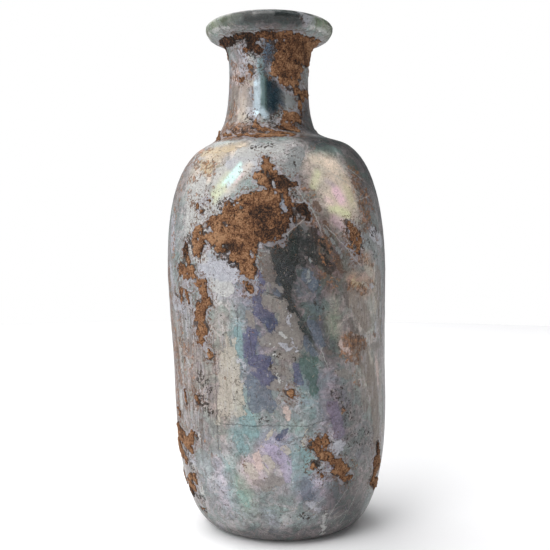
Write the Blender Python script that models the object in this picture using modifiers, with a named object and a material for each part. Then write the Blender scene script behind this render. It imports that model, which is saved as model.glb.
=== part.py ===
"""A blown glass unguentarium, 125 mm tall: one hollow vessel with a barrel-shaped body, a short neck and
a thick folded rim. The glass is one solid with its true wall, and its mouth is open.

Metres, +Z up. The origin is on the ground under the middle of the vessel, and -Y is the front.
"""

import math

import bmesh
import bpy
from mathutils import Vector

# Heights, stacked from the ground up.
HEEL_HEIGHT = 0.0394        # from the ground to where the rounded heel has become the wall
WALL_HEIGHT = 0.0234        # the nearly straight part of the wall
SHOULDER_HEIGHT = 0.0327    # from the wall up to the crown that closes the shoulder's curve
NECK_HEIGHT = 0.0252        # from the crown to the underside of the rim
RIM_THICKNESS = 0.0043

# Radii of the outside.
FOOT_RADIUS = 0.0141        # outer edge of the flat ring that the vessel stands on
BODY_RADIUS = 0.0273        # where the shoulder starts
BODY_TAPER = 0.0007         # how much narrower the wall is at the heel
NECK_RADIUS = 0.0100        # at the waist of the neck
CROWN_LEDGE = 0.0023        # from the neck's radius out to the crown of the shoulder

# The curves of the outside. Fullness 2 is an ellipse, and more is squarer.
HEEL_FULLNESS = 2.6
SHOULDER_FULLNESS = 2.48
SHOULDER_END_ANGLE = 77.0   # degrees up the shoulder's curve, where it turns into the neck
WAIST_DROP = 0.0083         # from the rim's underside down to the narrowest place of the neck
THROAT_PULL = 0.71          # how far the neck's foot follows the shoulder, as a share of its width
WAIST_PULL = 0.81           # how far it follows the neck, as a share of its height
COLLAR_PULL = 0.58          # how far the collar under the rim follows the neck
COLLAR_SPREAD = 0.88        # how far it follows the rim's underside
COLLAR_DROP = 0.0009        # how far the collar's end hangs below the rim's underside

# The rim.
RIM_WIDTH = 0.0067          # from the lip of the mouth to the rim's outer edge
RIM_ROUNDING = 0.0032
RIM_CROWN = 0.0015          # from the top down to the rim's widest place
LIP_ROUNDING = 0.0008
MOUTH_FLARE = 0.0015        # how much wider the mouth is than the neck's bore

# The glass.
BODY_WALL = 0.0020
NECK_WALL = 0.0023
BASE_WALL = 0.0030
PUSH_UP_RADIUS = 0.0092     # the hollow under the base, inside the ring
PUSH_UP_HEIGHT = 0.0013

# Blown by hand, so the vessel isn't true.
BODY_LEAN = 0.0020          # how far the axis drifts to -X from the ground up to the shoulder
SHOULDER_TILT = 2.0         # degrees that the body's levels rise towards +X
NECK_SHIFT = 0.0016         # how far the neck was set towards -X on the shoulder
NECK_LEAN = 0.0003          # how far the neck leans back to +X between the shoulder and the top
NECK_SET_START = 0.0015     # the shift starts this far below the crown
NECK_SET_HEIGHT = 0.0045    # and is complete after this rise

# The fineness of the facets.
SEGMENTS = 56
HEEL_STEPS = 9
WALL_STEPS = 2
SHOULDER_STEPS = 11
THROAT_STEPS = 7
COLLAR_STEPS = 5
ROUNDING_STEPS = 4
PUSH_UP_STEPS = 3
FLOOR_STEPS = 3

# The look.
GLASS_COLOUR = (0.36, 0.40, 0.38, 1.0)
GLASS_ROUGHNESS = 0.38

WALL_FOOT = HEEL_HEIGHT
WALL_TOP = WALL_FOOT + WALL_HEIGHT
CROWN = WALL_TOP + SHOULDER_HEIGHT
RIM_UNDERSIDE = CROWN + NECK_HEIGHT
TOP = RIM_UNDERSIDE + RIM_THICKNESS
WAIST = RIM_UNDERSIDE - WAIST_DROP
CROWN_RADIUS = NECK_RADIUS + CROWN_LEDGE
BORE_RADIUS = NECK_RADIUS - NECK_WALL
MOUTH_RADIUS = BORE_RADIUS + MOUTH_FLARE
RIM_RADIUS = MOUTH_RADIUS + RIM_WIDTH


def clear_scene():
    for scene_object in list(bpy.data.objects):
        bpy.data.objects.remove(scene_object, do_unlink=True)


def smooth_step(value):
    """0 below 0, 1 above 1, and a smooth rise between them."""
    value = min(max(value, 0.0), 1.0)
    return value * value * (3.0 - 2.0 * value)


def signed_power(value, exponent):
    return math.copysign(abs(value) ** exponent, value)


def full_arc(centre, width, height, start, end, steps, fullness=2.0):
    """Points (radius, height) of an arc about centre, from start to end in degrees, squarer as fullness grows."""
    points = []
    for step in range(steps + 1):
        angle = math.radians(start + (end - start) * step / steps)
        across = signed_power(math.cos(angle), 2.0 / fullness)
        up = signed_power(math.sin(angle), 2.0 / fullness)
        points.append(Vector((centre[0] + width * across, centre[1] + height * up)))
    return points


def bezier(start, start_handle, end_handle, end, steps):
    points = []
    for step in range(steps + 1):
        t = step / steps
        s = 1.0 - t
        points.append(s**3 * start + 3 * s**2 * t * start_handle + 3 * s * t**2 * end_handle + t**3 * end)
    return points


def shoulder_line():
    """From the wall up the shoulder's curve to where it turns into the neck."""
    width = BODY_RADIUS - CROWN_RADIUS
    return full_arc(
        (CROWN_RADIUS, WALL_TOP), width, SHOULDER_HEIGHT, 0.0, SHOULDER_END_ANGLE, SHOULDER_STEPS, SHOULDER_FULLNESS
    )


def throat_line():
    """The hollow curve from the shoulder up to the waist of the neck."""
    shoulder = shoulder_line()
    start = shoulder[-1]
    direction = (shoulder[-1] - shoulder[-2]).normalized()
    end = Vector((NECK_RADIUS, WAIST))
    start_handle = start + direction * (start.x - end.x) * THROAT_PULL
    end_handle = end - Vector((0.0, (end.y - start.y) * WAIST_PULL))
    return bezier(start, start_handle, end_handle, end, THROAT_STEPS)


def collar_line():
    """From the waist up and out to the underside of the rim."""
    start = Vector((NECK_RADIUS, WAIST))
    end = Vector((RIM_RADIUS - RIM_ROUNDING, RIM_UNDERSIDE))
    start_handle = start + Vector((0.0, (end.y - start.y) * COLLAR_PULL))
    end_handle = end - Vector(((end.x - start.x) * COLLAR_SPREAD, COLLAR_DROP))
    return bezier(start, start_handle, end_handle, end, COLLAR_STEPS)


def rim_line():
    """Round the rim's outer edge, from its underside to the flat land on top."""
    centre = (RIM_RADIUS - RIM_ROUNDING, TOP - RIM_CROWN)
    lower = full_arc(centre, RIM_ROUNDING, RIM_THICKNESS - RIM_CROWN, -90.0, 0.0, ROUNDING_STEPS)
    upper = full_arc(centre, RIM_ROUNDING, RIM_CROWN, 0.0, 90.0, ROUNDING_STEPS)
    return lower + upper[1:]


def outside_line():
    """The outside from the edge of the foot up to the rim's land."""
    heel = full_arc(
        (FOOT_RADIUS, HEEL_HEIGHT),
        BODY_RADIUS - BODY_TAPER - FOOT_RADIUS,
        HEEL_HEIGHT,
        -90.0,
        0.0,
        HEEL_STEPS,
        HEEL_FULLNESS,
    )
    shoulder = shoulder_line()
    wall = [heel[-1].lerp(shoulder[0], step / WALL_STEPS) for step in range(1, WALL_STEPS)]
    return heel + wall + shoulder + throat_line()[1:] + collar_line()[1:] + rim_line()[1:]


def wall_at(height):
    """The thickness of the glass: thick in the base, thinner in the body, and thicker again in the neck."""
    base_share = 1.0 - smooth_step(height / HEEL_HEIGHT)
    neck_share = smooth_step((height - WALL_TOP) / (WAIST - WALL_TOP))
    return BODY_WALL + (BASE_WALL - BODY_WALL) * base_share + (NECK_WALL - BODY_WALL) * neck_share


def inside_line():
    """The inside from the middle of the floor up to the rounded lip of the mouth."""
    below_waist = [point for point in outside_line() if point.y < WAIST and point.x <= BODY_RADIUS]
    wall = []
    for index, point in enumerate(below_waist):
        before = below_waist[max(index - 1, 0)]
        after = below_waist[min(index + 1, len(below_waist) - 1)]
        along = (after - before).normalized()
        if index == 0:
            along = Vector((1.0, 0.0))
        inwards = Vector((-along.y, along.x))
        wall.append(point + inwards * wall_at(point.y))
    floor = []
    for step in range(FLOOR_STEPS):
        share = step / FLOOR_STEPS
        rise = PUSH_UP_HEIGHT * (1.0 - share**2) ** 2
        floor.append(Vector((FOOT_RADIUS * share, BASE_WALL + rise)))
    bore = Vector((BORE_RADIUS, WAIST))
    lip = full_arc(
        (MOUTH_RADIUS + LIP_ROUNDING, TOP - LIP_ROUNDING), LIP_ROUNDING, LIP_ROUNDING, 180.0, 90.0, ROUNDING_STEPS
    )
    rise = Vector((0.0, (lip[0].y - WAIST) / 2.0))
    mouth = bezier(bore, bore + rise, lip[0] - rise, lip[0], COLLAR_STEPS)
    return floor + wall + mouth + lip[1:]


def underside_line():
    """From the edge of the foot in across the flat ring, and up the shallow push-up to the middle."""
    points = []
    for step in range(PUSH_UP_STEPS + 1):
        share = 1.0 - step / PUSH_UP_STEPS
        points.append(Vector((PUSH_UP_RADIUS * share, PUSH_UP_HEIGHT * (1.0 - share**2))))
    return points


def glass_line():
    """The whole section: up the inside, over the rim, down the outside and in under the base."""
    return inside_line() + outside_line()[::-1] + underside_line()


def axis_drift(height):
    """How far the axis of the vessel lies from the vertical at this height, along X."""
    body = -BODY_LEAN * smooth_step(height / CROWN)
    neck_set = smooth_step((height - CROWN + NECK_SET_START) / NECK_SET_HEIGHT)
    neck_rise = min(max((height - CROWN) / (TOP - CROWN), 0.0), 1.0)
    return body - NECK_SHIFT * neck_set + NECK_LEAN * neck_rise


def level_tilt(height):
    """How steeply the levels of the body rise towards +X. The foot and the neck stay level."""
    above_heel = smooth_step(height / HEEL_HEIGHT)
    below_neck = 1.0 - smooth_step((height - CROWN + NECK_SET_START) / NECK_SET_HEIGHT)
    return math.tan(math.radians(SHOULDER_TILT)) * above_heel * below_neck


def bend_by_hand(mesh_data):
    """Moves each ring of the true turned shape to where the hand-made one has it, and centres the result."""
    for vertex in mesh_data.vertices:
        height = vertex.co.z
        vertex.co.z += vertex.co.x * level_tilt(height)
        vertex.co.x += axis_drift(height)
    across = [vertex.co.x for vertex in mesh_data.vertices]
    middle = (min(across) + max(across)) / 2.0
    for vertex in mesh_data.vertices:
        vertex.co.x -= middle


def add_glass_material():
    material = bpy.data.materials.new("weathered_glass")
    material.use_nodes = True
    shader = material.node_tree.nodes["Principled BSDF"]
    shader.inputs["Base Color"].default_value = GLASS_COLOUR
    shader.inputs["Roughness"].default_value = GLASS_ROUGHNESS
    shader.inputs["Metallic"].default_value = 0.0
    return material


def turned_mesh(name, line):
    """The mesh of a section line, given as (radius, height), turned once round the Z axis."""
    section = bpy.data.meshes.new(name + "_section")
    corners = [(point.x, 0.0, point.y) for point in line]
    section.from_pydata(corners, [(index, index + 1) for index in range(len(corners) - 1)], [])
    guide = bpy.data.objects.new(name + "_section", section)
    bpy.context.scene.collection.objects.link(guide)
    screw = guide.modifiers.new("Turn", "SCREW")
    screw.axis = "Z"
    screw.angle = 2.0 * math.pi
    screw.steps = SEGMENTS
    screw.render_steps = SEGMENTS
    screw.use_merge_vertices = True
    screw.merge_threshold = 0.00001
    mesh_data = bpy.data.meshes.new_from_object(guide.evaluated_get(bpy.context.evaluated_depsgraph_get()))
    bpy.data.objects.remove(guide, do_unlink=True)
    whole = bmesh.new()
    whole.from_mesh(mesh_data)
    bmesh.ops.remove_doubles(whole, verts=whole.verts, dist=0.000001)
    whole.to_mesh(mesh_data)
    whole.free()
    mesh_data.name = name
    return mesh_data


def add_bottle(collection):
    mesh_data = turned_mesh("bottle", glass_line())
    bend_by_hand(mesh_data)
    mesh_data.materials.append(add_glass_material())
    mesh_data.shade_smooth()
    mesh_data.set_sharp_from_angle(angle=math.radians(40.0))
    bottle = bpy.data.objects.new("bottle", mesh_data)
    collection.objects.link(bottle)
    return bottle


def main():
    clear_scene()
    collection = bpy.data.collections.new("unguentarium")
    bpy.context.scene.collection.children.link(collection)
    add_bottle(collection)


main()
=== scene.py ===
"""A buried glass unguentarium: its weathered wall, the earth crusted on it, and a plain studio round it.

Places on the vessel are given as an angle in degrees, 0 at the front and positive towards +X, and a height in
millimetres above the ground, both before the vessel's own lean.
"""

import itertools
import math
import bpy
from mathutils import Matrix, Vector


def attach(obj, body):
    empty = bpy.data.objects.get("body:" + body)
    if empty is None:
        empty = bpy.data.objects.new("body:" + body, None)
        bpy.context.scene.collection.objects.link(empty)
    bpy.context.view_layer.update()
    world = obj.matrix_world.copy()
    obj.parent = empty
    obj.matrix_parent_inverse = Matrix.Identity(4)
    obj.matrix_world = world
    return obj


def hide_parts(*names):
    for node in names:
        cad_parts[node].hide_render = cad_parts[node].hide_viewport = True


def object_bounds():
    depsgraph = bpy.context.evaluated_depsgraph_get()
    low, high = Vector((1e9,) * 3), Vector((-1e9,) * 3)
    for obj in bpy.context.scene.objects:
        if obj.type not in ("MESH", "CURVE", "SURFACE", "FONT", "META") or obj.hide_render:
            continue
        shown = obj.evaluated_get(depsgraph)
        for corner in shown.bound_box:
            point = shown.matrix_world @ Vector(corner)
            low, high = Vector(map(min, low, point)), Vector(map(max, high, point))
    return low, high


bl_info = {
    "name": "Glass Unguentarium",
    "version": (1, 0, 0),
    "blender": (4, 5, 0),
    "location": "View3D > Sidebar > Unguentarium",
    "description": "Builds a weathered glass unguentarium with its burial crust, and a studio to show it in",
    "category": "Add Mesh",
}

from types import SimpleNamespace

import bmesh
import bpy
import numpy as np
from bpy.props import FloatProperty, FloatVectorProperty, IntProperty, PointerProperty
from bpy.types import Operator, Panel, PropertyGroup
from mathutils import Euler, Matrix

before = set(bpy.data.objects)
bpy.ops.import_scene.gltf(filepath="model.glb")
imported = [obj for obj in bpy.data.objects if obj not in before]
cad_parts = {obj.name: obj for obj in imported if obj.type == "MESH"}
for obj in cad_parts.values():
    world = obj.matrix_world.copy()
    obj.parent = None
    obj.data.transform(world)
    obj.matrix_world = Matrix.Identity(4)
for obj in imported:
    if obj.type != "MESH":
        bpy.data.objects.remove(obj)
CAD_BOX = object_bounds()

MM = 0.001


def length(name, description, default):
    return FloatProperty(name=name, description=description, default=default, unit="LENGTH", precision=5)


def share(name, description, default):
    return FloatProperty(name=name, description=description, default=default)


def linear(channel):
    """A colour channel from 0 to 255 as the eye sees it, as the linear value that a shader uses."""
    value = channel / 255.0
    return value / 12.92 if value <= 0.04045 else ((value + 0.055) / 1.055) ** 2.4


def shade(name, description, red, green, blue):
    default = (linear(red), linear(green), linear(blue))
    return FloatVectorProperty(
        name=name, description=description, default=default, subtype="COLOR", min=0.0, max=1.0,
    )


class VesselSizes(PropertyGroup):
    """The driving sizes of the vessel, the same as the solid's."""

    heel_height: length(
        "Heel height", "From the ground to where the rounded heel has become the wall", 0.0394,
    )
    wall_height: length("Wall height", "The nearly straight part of the wall", 0.0234)
    shoulder_height: length(
        "Shoulder height", "From the wall up to the crown of the shoulder's curve", 0.0327,
    )
    neck_height: length("Neck height", "From the crown to the underside of the rim", 0.0252)
    rim_thickness: length("Rim thickness", "From the rim's underside to its top", 0.0043)
    foot_radius: length("Foot radius", "Outer edge of the flat ring that the vessel stands on", 0.0141)
    body_radius: length("Body radius", "Where the shoulder starts", 0.0273)
    body_taper: length("Body taper", "How much narrower the wall is at the heel", 0.0007)
    neck_radius: length("Neck radius", "At the waist of the neck", 0.0100)
    crown_ledge: length("Crown ledge", "From the neck's radius out to the crown of the shoulder", 0.0023)
    heel_fullness: share("Heel fullness", "2 is an ellipse, and more is squarer", 2.6)
    shoulder_fullness: share("Shoulder fullness", "2 is an ellipse, and more is squarer", 2.48)
    shoulder_end: share("Shoulder end", "Degrees up the shoulder's curve, where it turns into the neck", 77.0)
    waist_drop: length(
        "Waist drop", "From the rim's underside down to the narrowest place of the neck", 0.0083,
    )
    throat_pull: share("Throat pull", "How far the neck's foot follows the shoulder", 0.71)
    waist_pull: share("Waist pull", "How far the neck's foot follows the neck", 0.81)
    collar_pull: share("Collar pull", "How far the collar under the rim follows the neck", 0.58)
    collar_spread: share("Collar spread", "How far the collar follows the rim's underside", 0.88)
    collar_drop: length("Collar drop", "How far the collar's end hangs below the rim's underside", 0.0009)
    rim_width: length("Rim width", "From the lip of the mouth to the rim's outer edge", 0.0067)
    rim_rounding: length("Rim rounding", "How wide the rounding of the rim's outer edge is", 0.0032)
    rim_crown: length("Rim crown", "From the top down to the rim's widest place", 0.0015)
    lip_rounding: length("Lip rounding", "Radius of the mouth's edge", 0.0008)
    mouth_flare: length("Mouth flare", "How much wider the mouth is than the neck's bore", 0.0015)
    body_wall: length("Body wall", "Thickness of the glass in the body", 0.0020)
    neck_wall: length("Neck wall", "Thickness of the glass in the neck", 0.0023)
    base_wall: length("Base wall", "Thickness of the glass in the base", 0.0030)
    push_up_radius: length("Push-up radius", "The hollow under the base", 0.0092)
    push_up_height: length("Push-up height", "Rise of the hollow under the base", 0.0013)
    body_lean: length("Body lean", "How far the axis drifts to -X up to the shoulder", 0.0020)
    shoulder_tilt: share("Shoulder tilt", "Degrees that the body's levels rise towards +X", 2.0)
    neck_shift: length("Neck shift", "How far the neck was set towards -X", 0.0016)
    neck_lean: length("Neck lean", "How far the neck leans back to +X", 0.0003)
    neck_set_start: length("Neck set start", "The shift starts this far below the crown", 0.0015)
    neck_set_height: length("Neck set height", "The shift is complete after this rise", 0.0045)
    segments: IntProperty(name="Segments", description="Facets round the glass", default=320, min=24)
    outside_cell: length("Outside cell", "Height of a facet on the outside", 0.0006)
    inside_cell: length("Inside cell", "Height of a facet on the inside", 0.003)
    crust_cell: length("Crust cell", "Size of a facet of the crust", 0.00024)


class FinishColours(PropertyGroup):
    """What the glass, its weathering and the earth on it look like, with the colours of painted highlights
    and dark reflection.
    """

    silver: shade("Silver", "The common grey of the weathered film", 120, 124, 124)
    white: shade("White", "Pale film on the shoulder", 168, 168, 166)
    lilac_white: shade("Lilac white", "Pale film with a breath of violet", 158, 159, 166)
    warm_grey: shade("Warm grey", "Matt film on the left of the wall", 122, 112, 103)
    cream: shade("Cream", "The column of cream film", 164, 157, 145)
    # Gold at the top of the left shoulder is partly the film's honey colour and partly a painted highlight.
    gold: shade("Gold", "Honey film at the top of the shoulder", 176, 158, 128)
    beige: shade("Beige", "Dry flakes over the darker film", 120, 114, 109)
    taupe: shade("Taupe", "Brownish grey film", 90, 82, 78)
    violet: shade("Violet", "The blue violet layer under the flakes", 66, 67, 96)
    blue: shade("Blue", "The deepest of the blue layer", 44, 52, 82)
    slate_blue: shade("Slate blue", "Blue grey of the lower film", 84, 93, 106)
    # Sky is a painted highlight: the pale blue where the soft box reflects on the neck's clear window and on
    # the left of the shoulder. Two small flakes of film are also this colour.
    sky: shade("Sky", "Pale blue of the film where it shines", 208, 228, 240)
    deep_teal: shade("Deep teal", "Dark blue green of the neck's glass", 22, 46, 57)
    # Pearl, green pearl, rose pearl and aqua are the film's mother of pearl; where they are bright on the
    # shoulder they also paint a highlight, the reflection of the soft boxes.
    nacre: shade("Nacre", "Bright mother of pearl on the shoulder", 230, 210, 188)
    nacre_green: shade("Green nacre", "Yellow green mother of pearl", 206, 214, 164)
    nacre_pink: shade("Pink nacre", "Rose mother of pearl", 232, 196, 208)
    aqua: shade("Aqua", "The brightest streak of the film on the lit shoulder", 206, 250, 240)
    dusk: shade("Dusk", "Grey blue glass at the top of the neck", 84, 106, 128)
    pale_teal: shade("Pale teal", "Blue green film near the foot", 112, 138, 140)
    heather: shade("Heather", "Dull purple film", 104, 94, 112)
    umber: shade("Umber", "Dark brown film", 48, 40, 35)
    rose: shade("Rose", "Warm flakes", 184, 164, 156)
    teal: shade("Teal", "Green blue film", 66, 90, 84)
    mint: shade("Mint", "Pale green film", 116, 142, 136)
    lime: shade("Lime", "Yellow green film", 146, 158, 134)
    pink: shade("Pink", "Rose film", 192, 170, 174)
    lilac: shade("Lilac", "Purple film", 156, 146, 168)
    olive: shade("Olive", "Dull green brown film", 84, 80, 58)
    brown: shade("Brown", "Earth stain", 84, 62, 48)
    rust: shade("Rust", "Orange earth stain", 154, 106, 68)
    # Slate and bottle green are also painted on the right of the shoulder and wall, at the neck's foot and in
    # the rim's middle, partly as painted dark reflection.
    slate: shade("Slate", "Dark film over the clearer glass", 40, 44, 43)
    bottle: shade("Bottle green", "Dark green glass seen in depth", 24, 30, 27)
    rim_green: shade("Rim green", "Pale green of the thick rim", 104, 118, 92)
    soot: shade("Soot", "Black specks and edges", 28, 25, 23)
    glass: shade("Glass", "Tint of the clear glass", 96, 160, 178)
    earth: shade("Earth", "The crust's common brown", 120, 82, 56)
    earth_light: shade("Light earth", "The crust's dry grains", 164, 127, 95)
    earth_dark: shade("Dark earth", "The crust's pits and old parts", 62, 44, 34)
    floor: shade("Floor", "The studio's floor", 250, 250, 251)


class StudioSettings(PropertyGroup):
    """Where the camera stands, and how strong the lights are."""

    camera_distance: length("Camera distance", "From the vessel's axis", 0.2099)
    camera_height: length("Camera height", "Above the ground", 0.0682)
    camera_side: length("Camera side", "Towards +X", -0.00047)
    camera_dip: share("Camera dip", "Degrees below the horizon", 1.63)
    camera_lens: share("Camera lens", "Focal length in millimetres", 54.3)
    key_power: share("Key power", "Strip soft box at the front left, in watts", 2.4)
    top_power: share("Top power", "Large soft box overhead and to the left, in watts", 25.5)
    fill_power: share("Fill power", "Soft box at the right, in watts", 0.35)
    back_power: share("Back power", "Soft box behind and to the right, in watts", 0.5)
    glow_power: share("Glow power", "Small soft box high at the right, in watts", 0.5)
    sweep_power: share("Sweep power", "Soft box behind and to the left, for the floor, in watts", 2.5)
    room: share("Room", "Brightness of the room away from the camera's view", 0.15)
    floor_radius: length("Floor radius", "The floor's edge is lost against the white beyond it", 0.6)


# Strokes of crust: angle, height, angle, height, and half the width in millimetres.
FRONT_CRUST = [
    (-6, 89.3, -3, 87.5, 0.8), (-4, 87, 0, 85, 1.3), (-10, 85.5, -4, 83.5, 1.0), (-6, 84, 1, 82.5, 1.6),
    (1, 84, 8, 83.2, 1.3), (3, 82, 6, 80.3, 1.2), (-15, 79.8, -3, 80.4, 1.7), (-23, 77.3, 0, 77.4, 2.3),
    (-31, 75.1, -22, 75.1, 1.8), (-26, 74, -4, 74, 3.2), (-43, 72.5, -32, 72.1, 1.1),
    (-42.5, 73.8, -40, 73.8, 0.8), (-43, 71, -38, 70.6, 0.9), (-42, 69.4, -40, 68.4, 1.0),
    (-50, 71, -50, 69, 0.7), (-30, 71.5, -12, 71.5, 2.0), (-29, 69.3, -25, 68.6, 1.0),
    (-21, 69.6, -12, 69.2, 1.8), (-20, 67.4, -12, 67, 1.1), (-15, 65.6, -12, 63.4, 1.1),
    (-14, 61, -13, 60, 0.8), (-6, 73, 1, 74, 2.6), (0, 75.8, 7, 75.4, 1.6), (-4, 71.2, 1, 71.2, 1.0),
    (-2, 79.5, 2, 80, 1.6), (6, 78.2, 9, 77, 1.0), (5, 74, 8, 75.5, 0.7), (13, 77.6, 15, 75.8, 1.1),
    (-43, 79.4, -36, 80.2, 0.5), (-41, 79, -39.5, 78, 0.6), (-56, 64.7, -46, 64.5, 1.3),
    (-51, 63, -45, 63.5, 0.9), (-50, 67.5, -48, 66.4, 0.7), (-51, 70, -52, 67, 0.5),
    (-41, 61.8, -37, 60.8, 1.0), (-39, 60, -37, 57, 1.1), (-41.5, 55.6, -40, 51, 1.5),
    (-42, 50, -41, 48.4, 0.9), (-44, 63.5, -41, 62.5, 0.6), (-63, 58.6, -61.5, 58.6, 0.8),
    (-56, 60, -55.5, 58, 0.6), (-51, 59.6, -49, 57, 0.6), (40, 73.6, 39.5, 72, 0.9), (41, 72, 44, 70, 1.4),
    (45, 70, 42, 67.4, 0.9), (42, 68, 41, 66.2, 0.6), (37, 68.4, 40, 68.2, 0.4),
]
LOW_CRUST = [
    (-72, 25, -62, 23, 2.0), (-62, 23.6, -54, 24.8, 1.2), (-53, 26, -50.5, 25.7, 0.7),
    (-58, 21.8, -56, 21.8, 0.7), (-76, 21, -66, 18.6, 1.7), (-62, 14.5, -56, 13.8, 1.1),
    (-61, 15.4, -56, 15.5, 0.5), (-68, 12, -60, 11.4, 1.3), (-71, 10, -65, 9.8, 0.9),
    (-61, 6.2, -57, 6.8, 0.5), (15, 25, 22.5, 25.7, 0.8), (17, 24.4, 20.6, 22.6, 1.0),
    (21, 22.4, 26, 20.6, 0.8), (26, 20.4, 31, 19.8, 0.7), (30.5, 19.4, 33, 18, 1.2),
    (28, 17.8, 31, 17.2, 0.6), (33, 17.2, 34, 15.4, 0.8), (35.5, 16.1, 39, 16.1, 0.45),
    (16, 20, 18.5, 19, 0.4), (18, 18.6, 20, 17.5, 0.5), (62, 21.6, 64, 18.6, 0.9), (62, 18, 67, 16.6, 1.2),
    (63, 14.8, 62, 13, 0.8), (65, 12.6, 73, 11, 0.9), (-48, 35.2, -46, 34.2, 0.6),
    (-58, 35.6, -58, 33.5, 0.5), (-36.5, 45.7, -35.4, 44.8, 0.5), (5.6, 36.9, 5.2, 36.2, 0.4),
    (-71, 31, -67, 29.8, 0.6),
]
NECK_CRUST = [
    (-178, 120.2, -60, 119.8, 1.3), (62, 119.8, 178, 120.2, 1.3), (-60, 119.6, -22, 119.5, 1.0),
    (-24, 118.2, -14, 115.6, 0.9), (-20, 119.4, -3, 119.8, 1.0), (0, 119.5, 20, 119.3, 1.4),
    (20, 117.4, 76, 117.8, 2.3), (19, 115, 72, 115.8, 2.0), (9, 112.4, 50, 112.8, 1.6),
    (9, 111, 46, 111, 1.4), (18, 109.6, 40, 109.4, 1.2), (20, 119.7, 64, 119.5, 1.1),
    (24, 108.4, 37, 108.2, 0.8), (42, 107.2, 74, 107, 0.8), (50, 106.2, 56, 105.7, 0.6),
    (24, 101, 41, 101, 0.9), (25, 99.8, 41, 99.8, 0.9), (21, 98.4, 28, 98, 1.1), (14, 97.4, 29, 97, 0.9),
    (8, 95.9, 21, 95.7, 0.7), (-58, 96.6, -30, 96, 0.5), (-30, 95.8, -2, 94.9, 0.7), (-12, 98, -5, 97, 0.9),
    (0, 95.2, 18, 95.2, 0.6), (-15, 99.5, -11, 98.5, 0.5), (-78, 97.2, -60, 95.6, 0.6),
    (-36, 117, -30, 116.4, 0.4), (-42, 109.7, -26, 110.5, 0.35), (-28, 112.8, -25, 110.8, 0.5),
    (-3.5, 94.8, 2, 96.8, 0.35), (47.5, 105, 48.5, 101.8, 0.3), (-160, 117.6, -96, 118, 1.3),
    (96, 116.8, 128, 116, 1.5), (100, 113.6, 118, 112.6, 0.9),
]
BACK_CRUST = [
    (-170, 86, -152, 82, 2.2), (-166, 79, -148, 78, 2.4), (-150, 74, -140, 70, 1.4),
    (-138, 66, -136, 57, 1.2), (-118, 88, -104, 90, 1.0), (-112, 46, -110, 34, 1.1),
    (-100, 22, -88, 20, 1.7), (-96, 13, -84, 12, 1.4), (-128, 18, -118, 12, 1.2), (150, 62, 158, 55, 1.6),
    (154, 52, 160, 48, 0.9), (112, 70, 120, 66, 1.3), (118, 62, 122, 54, 0.8), (98, 34, 104, 28, 1.0),
    (132, 22, 144, 18, 1.5), (146, 16, 152, 11, 1.0), (170, 28, 178, 24, 0.9), (96, 98.5, 150, 97, 0.9),
    (-170, 97.4, -120, 98.6, 0.8), (-146, 108, -140, 101, 0.6),
]

# Gaps where the crust has fallen away from the glass.
CRUST_GAPS = [
    (3.2, 78.4, 4.8, 77.2, 0.55), (-1.2, 84, -0.2, 82.4, 0.35), (3.2, 80.6, 3.8, 79.4, 0.25),
    (8.6, 77.6, 10.8, 75.6, 0.5), (7.4, 75.2, 8.6, 73.8, 0.4), (-25.4, 75, -24.6, 74.4, 0.4),
    (-24.6, 69.8, -23.4, 69.2, 0.35), (-12, 68.4, -11, 67.2, 0.4), (-34, 74.2, -33, 73.6, 0.3),
    (-4, 86, -3.4, 85.6, 0.25), (42.6, 71.2, 43, 70.4, 0.2), (27, 22.4, 28, 22, 0.2),
    (22, 99, 24, 98.6, 0.25), (-17, 78.4, -16.4, 78, 0.2), (0, 74.6, 1, 74.2, 0.2),
    (-66, 24.4, -65, 24, 0.25), (-160, 84.4, -158, 83.6, 0.5), (-156, 78.6, -154, 78.2, 0.4),
]

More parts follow.
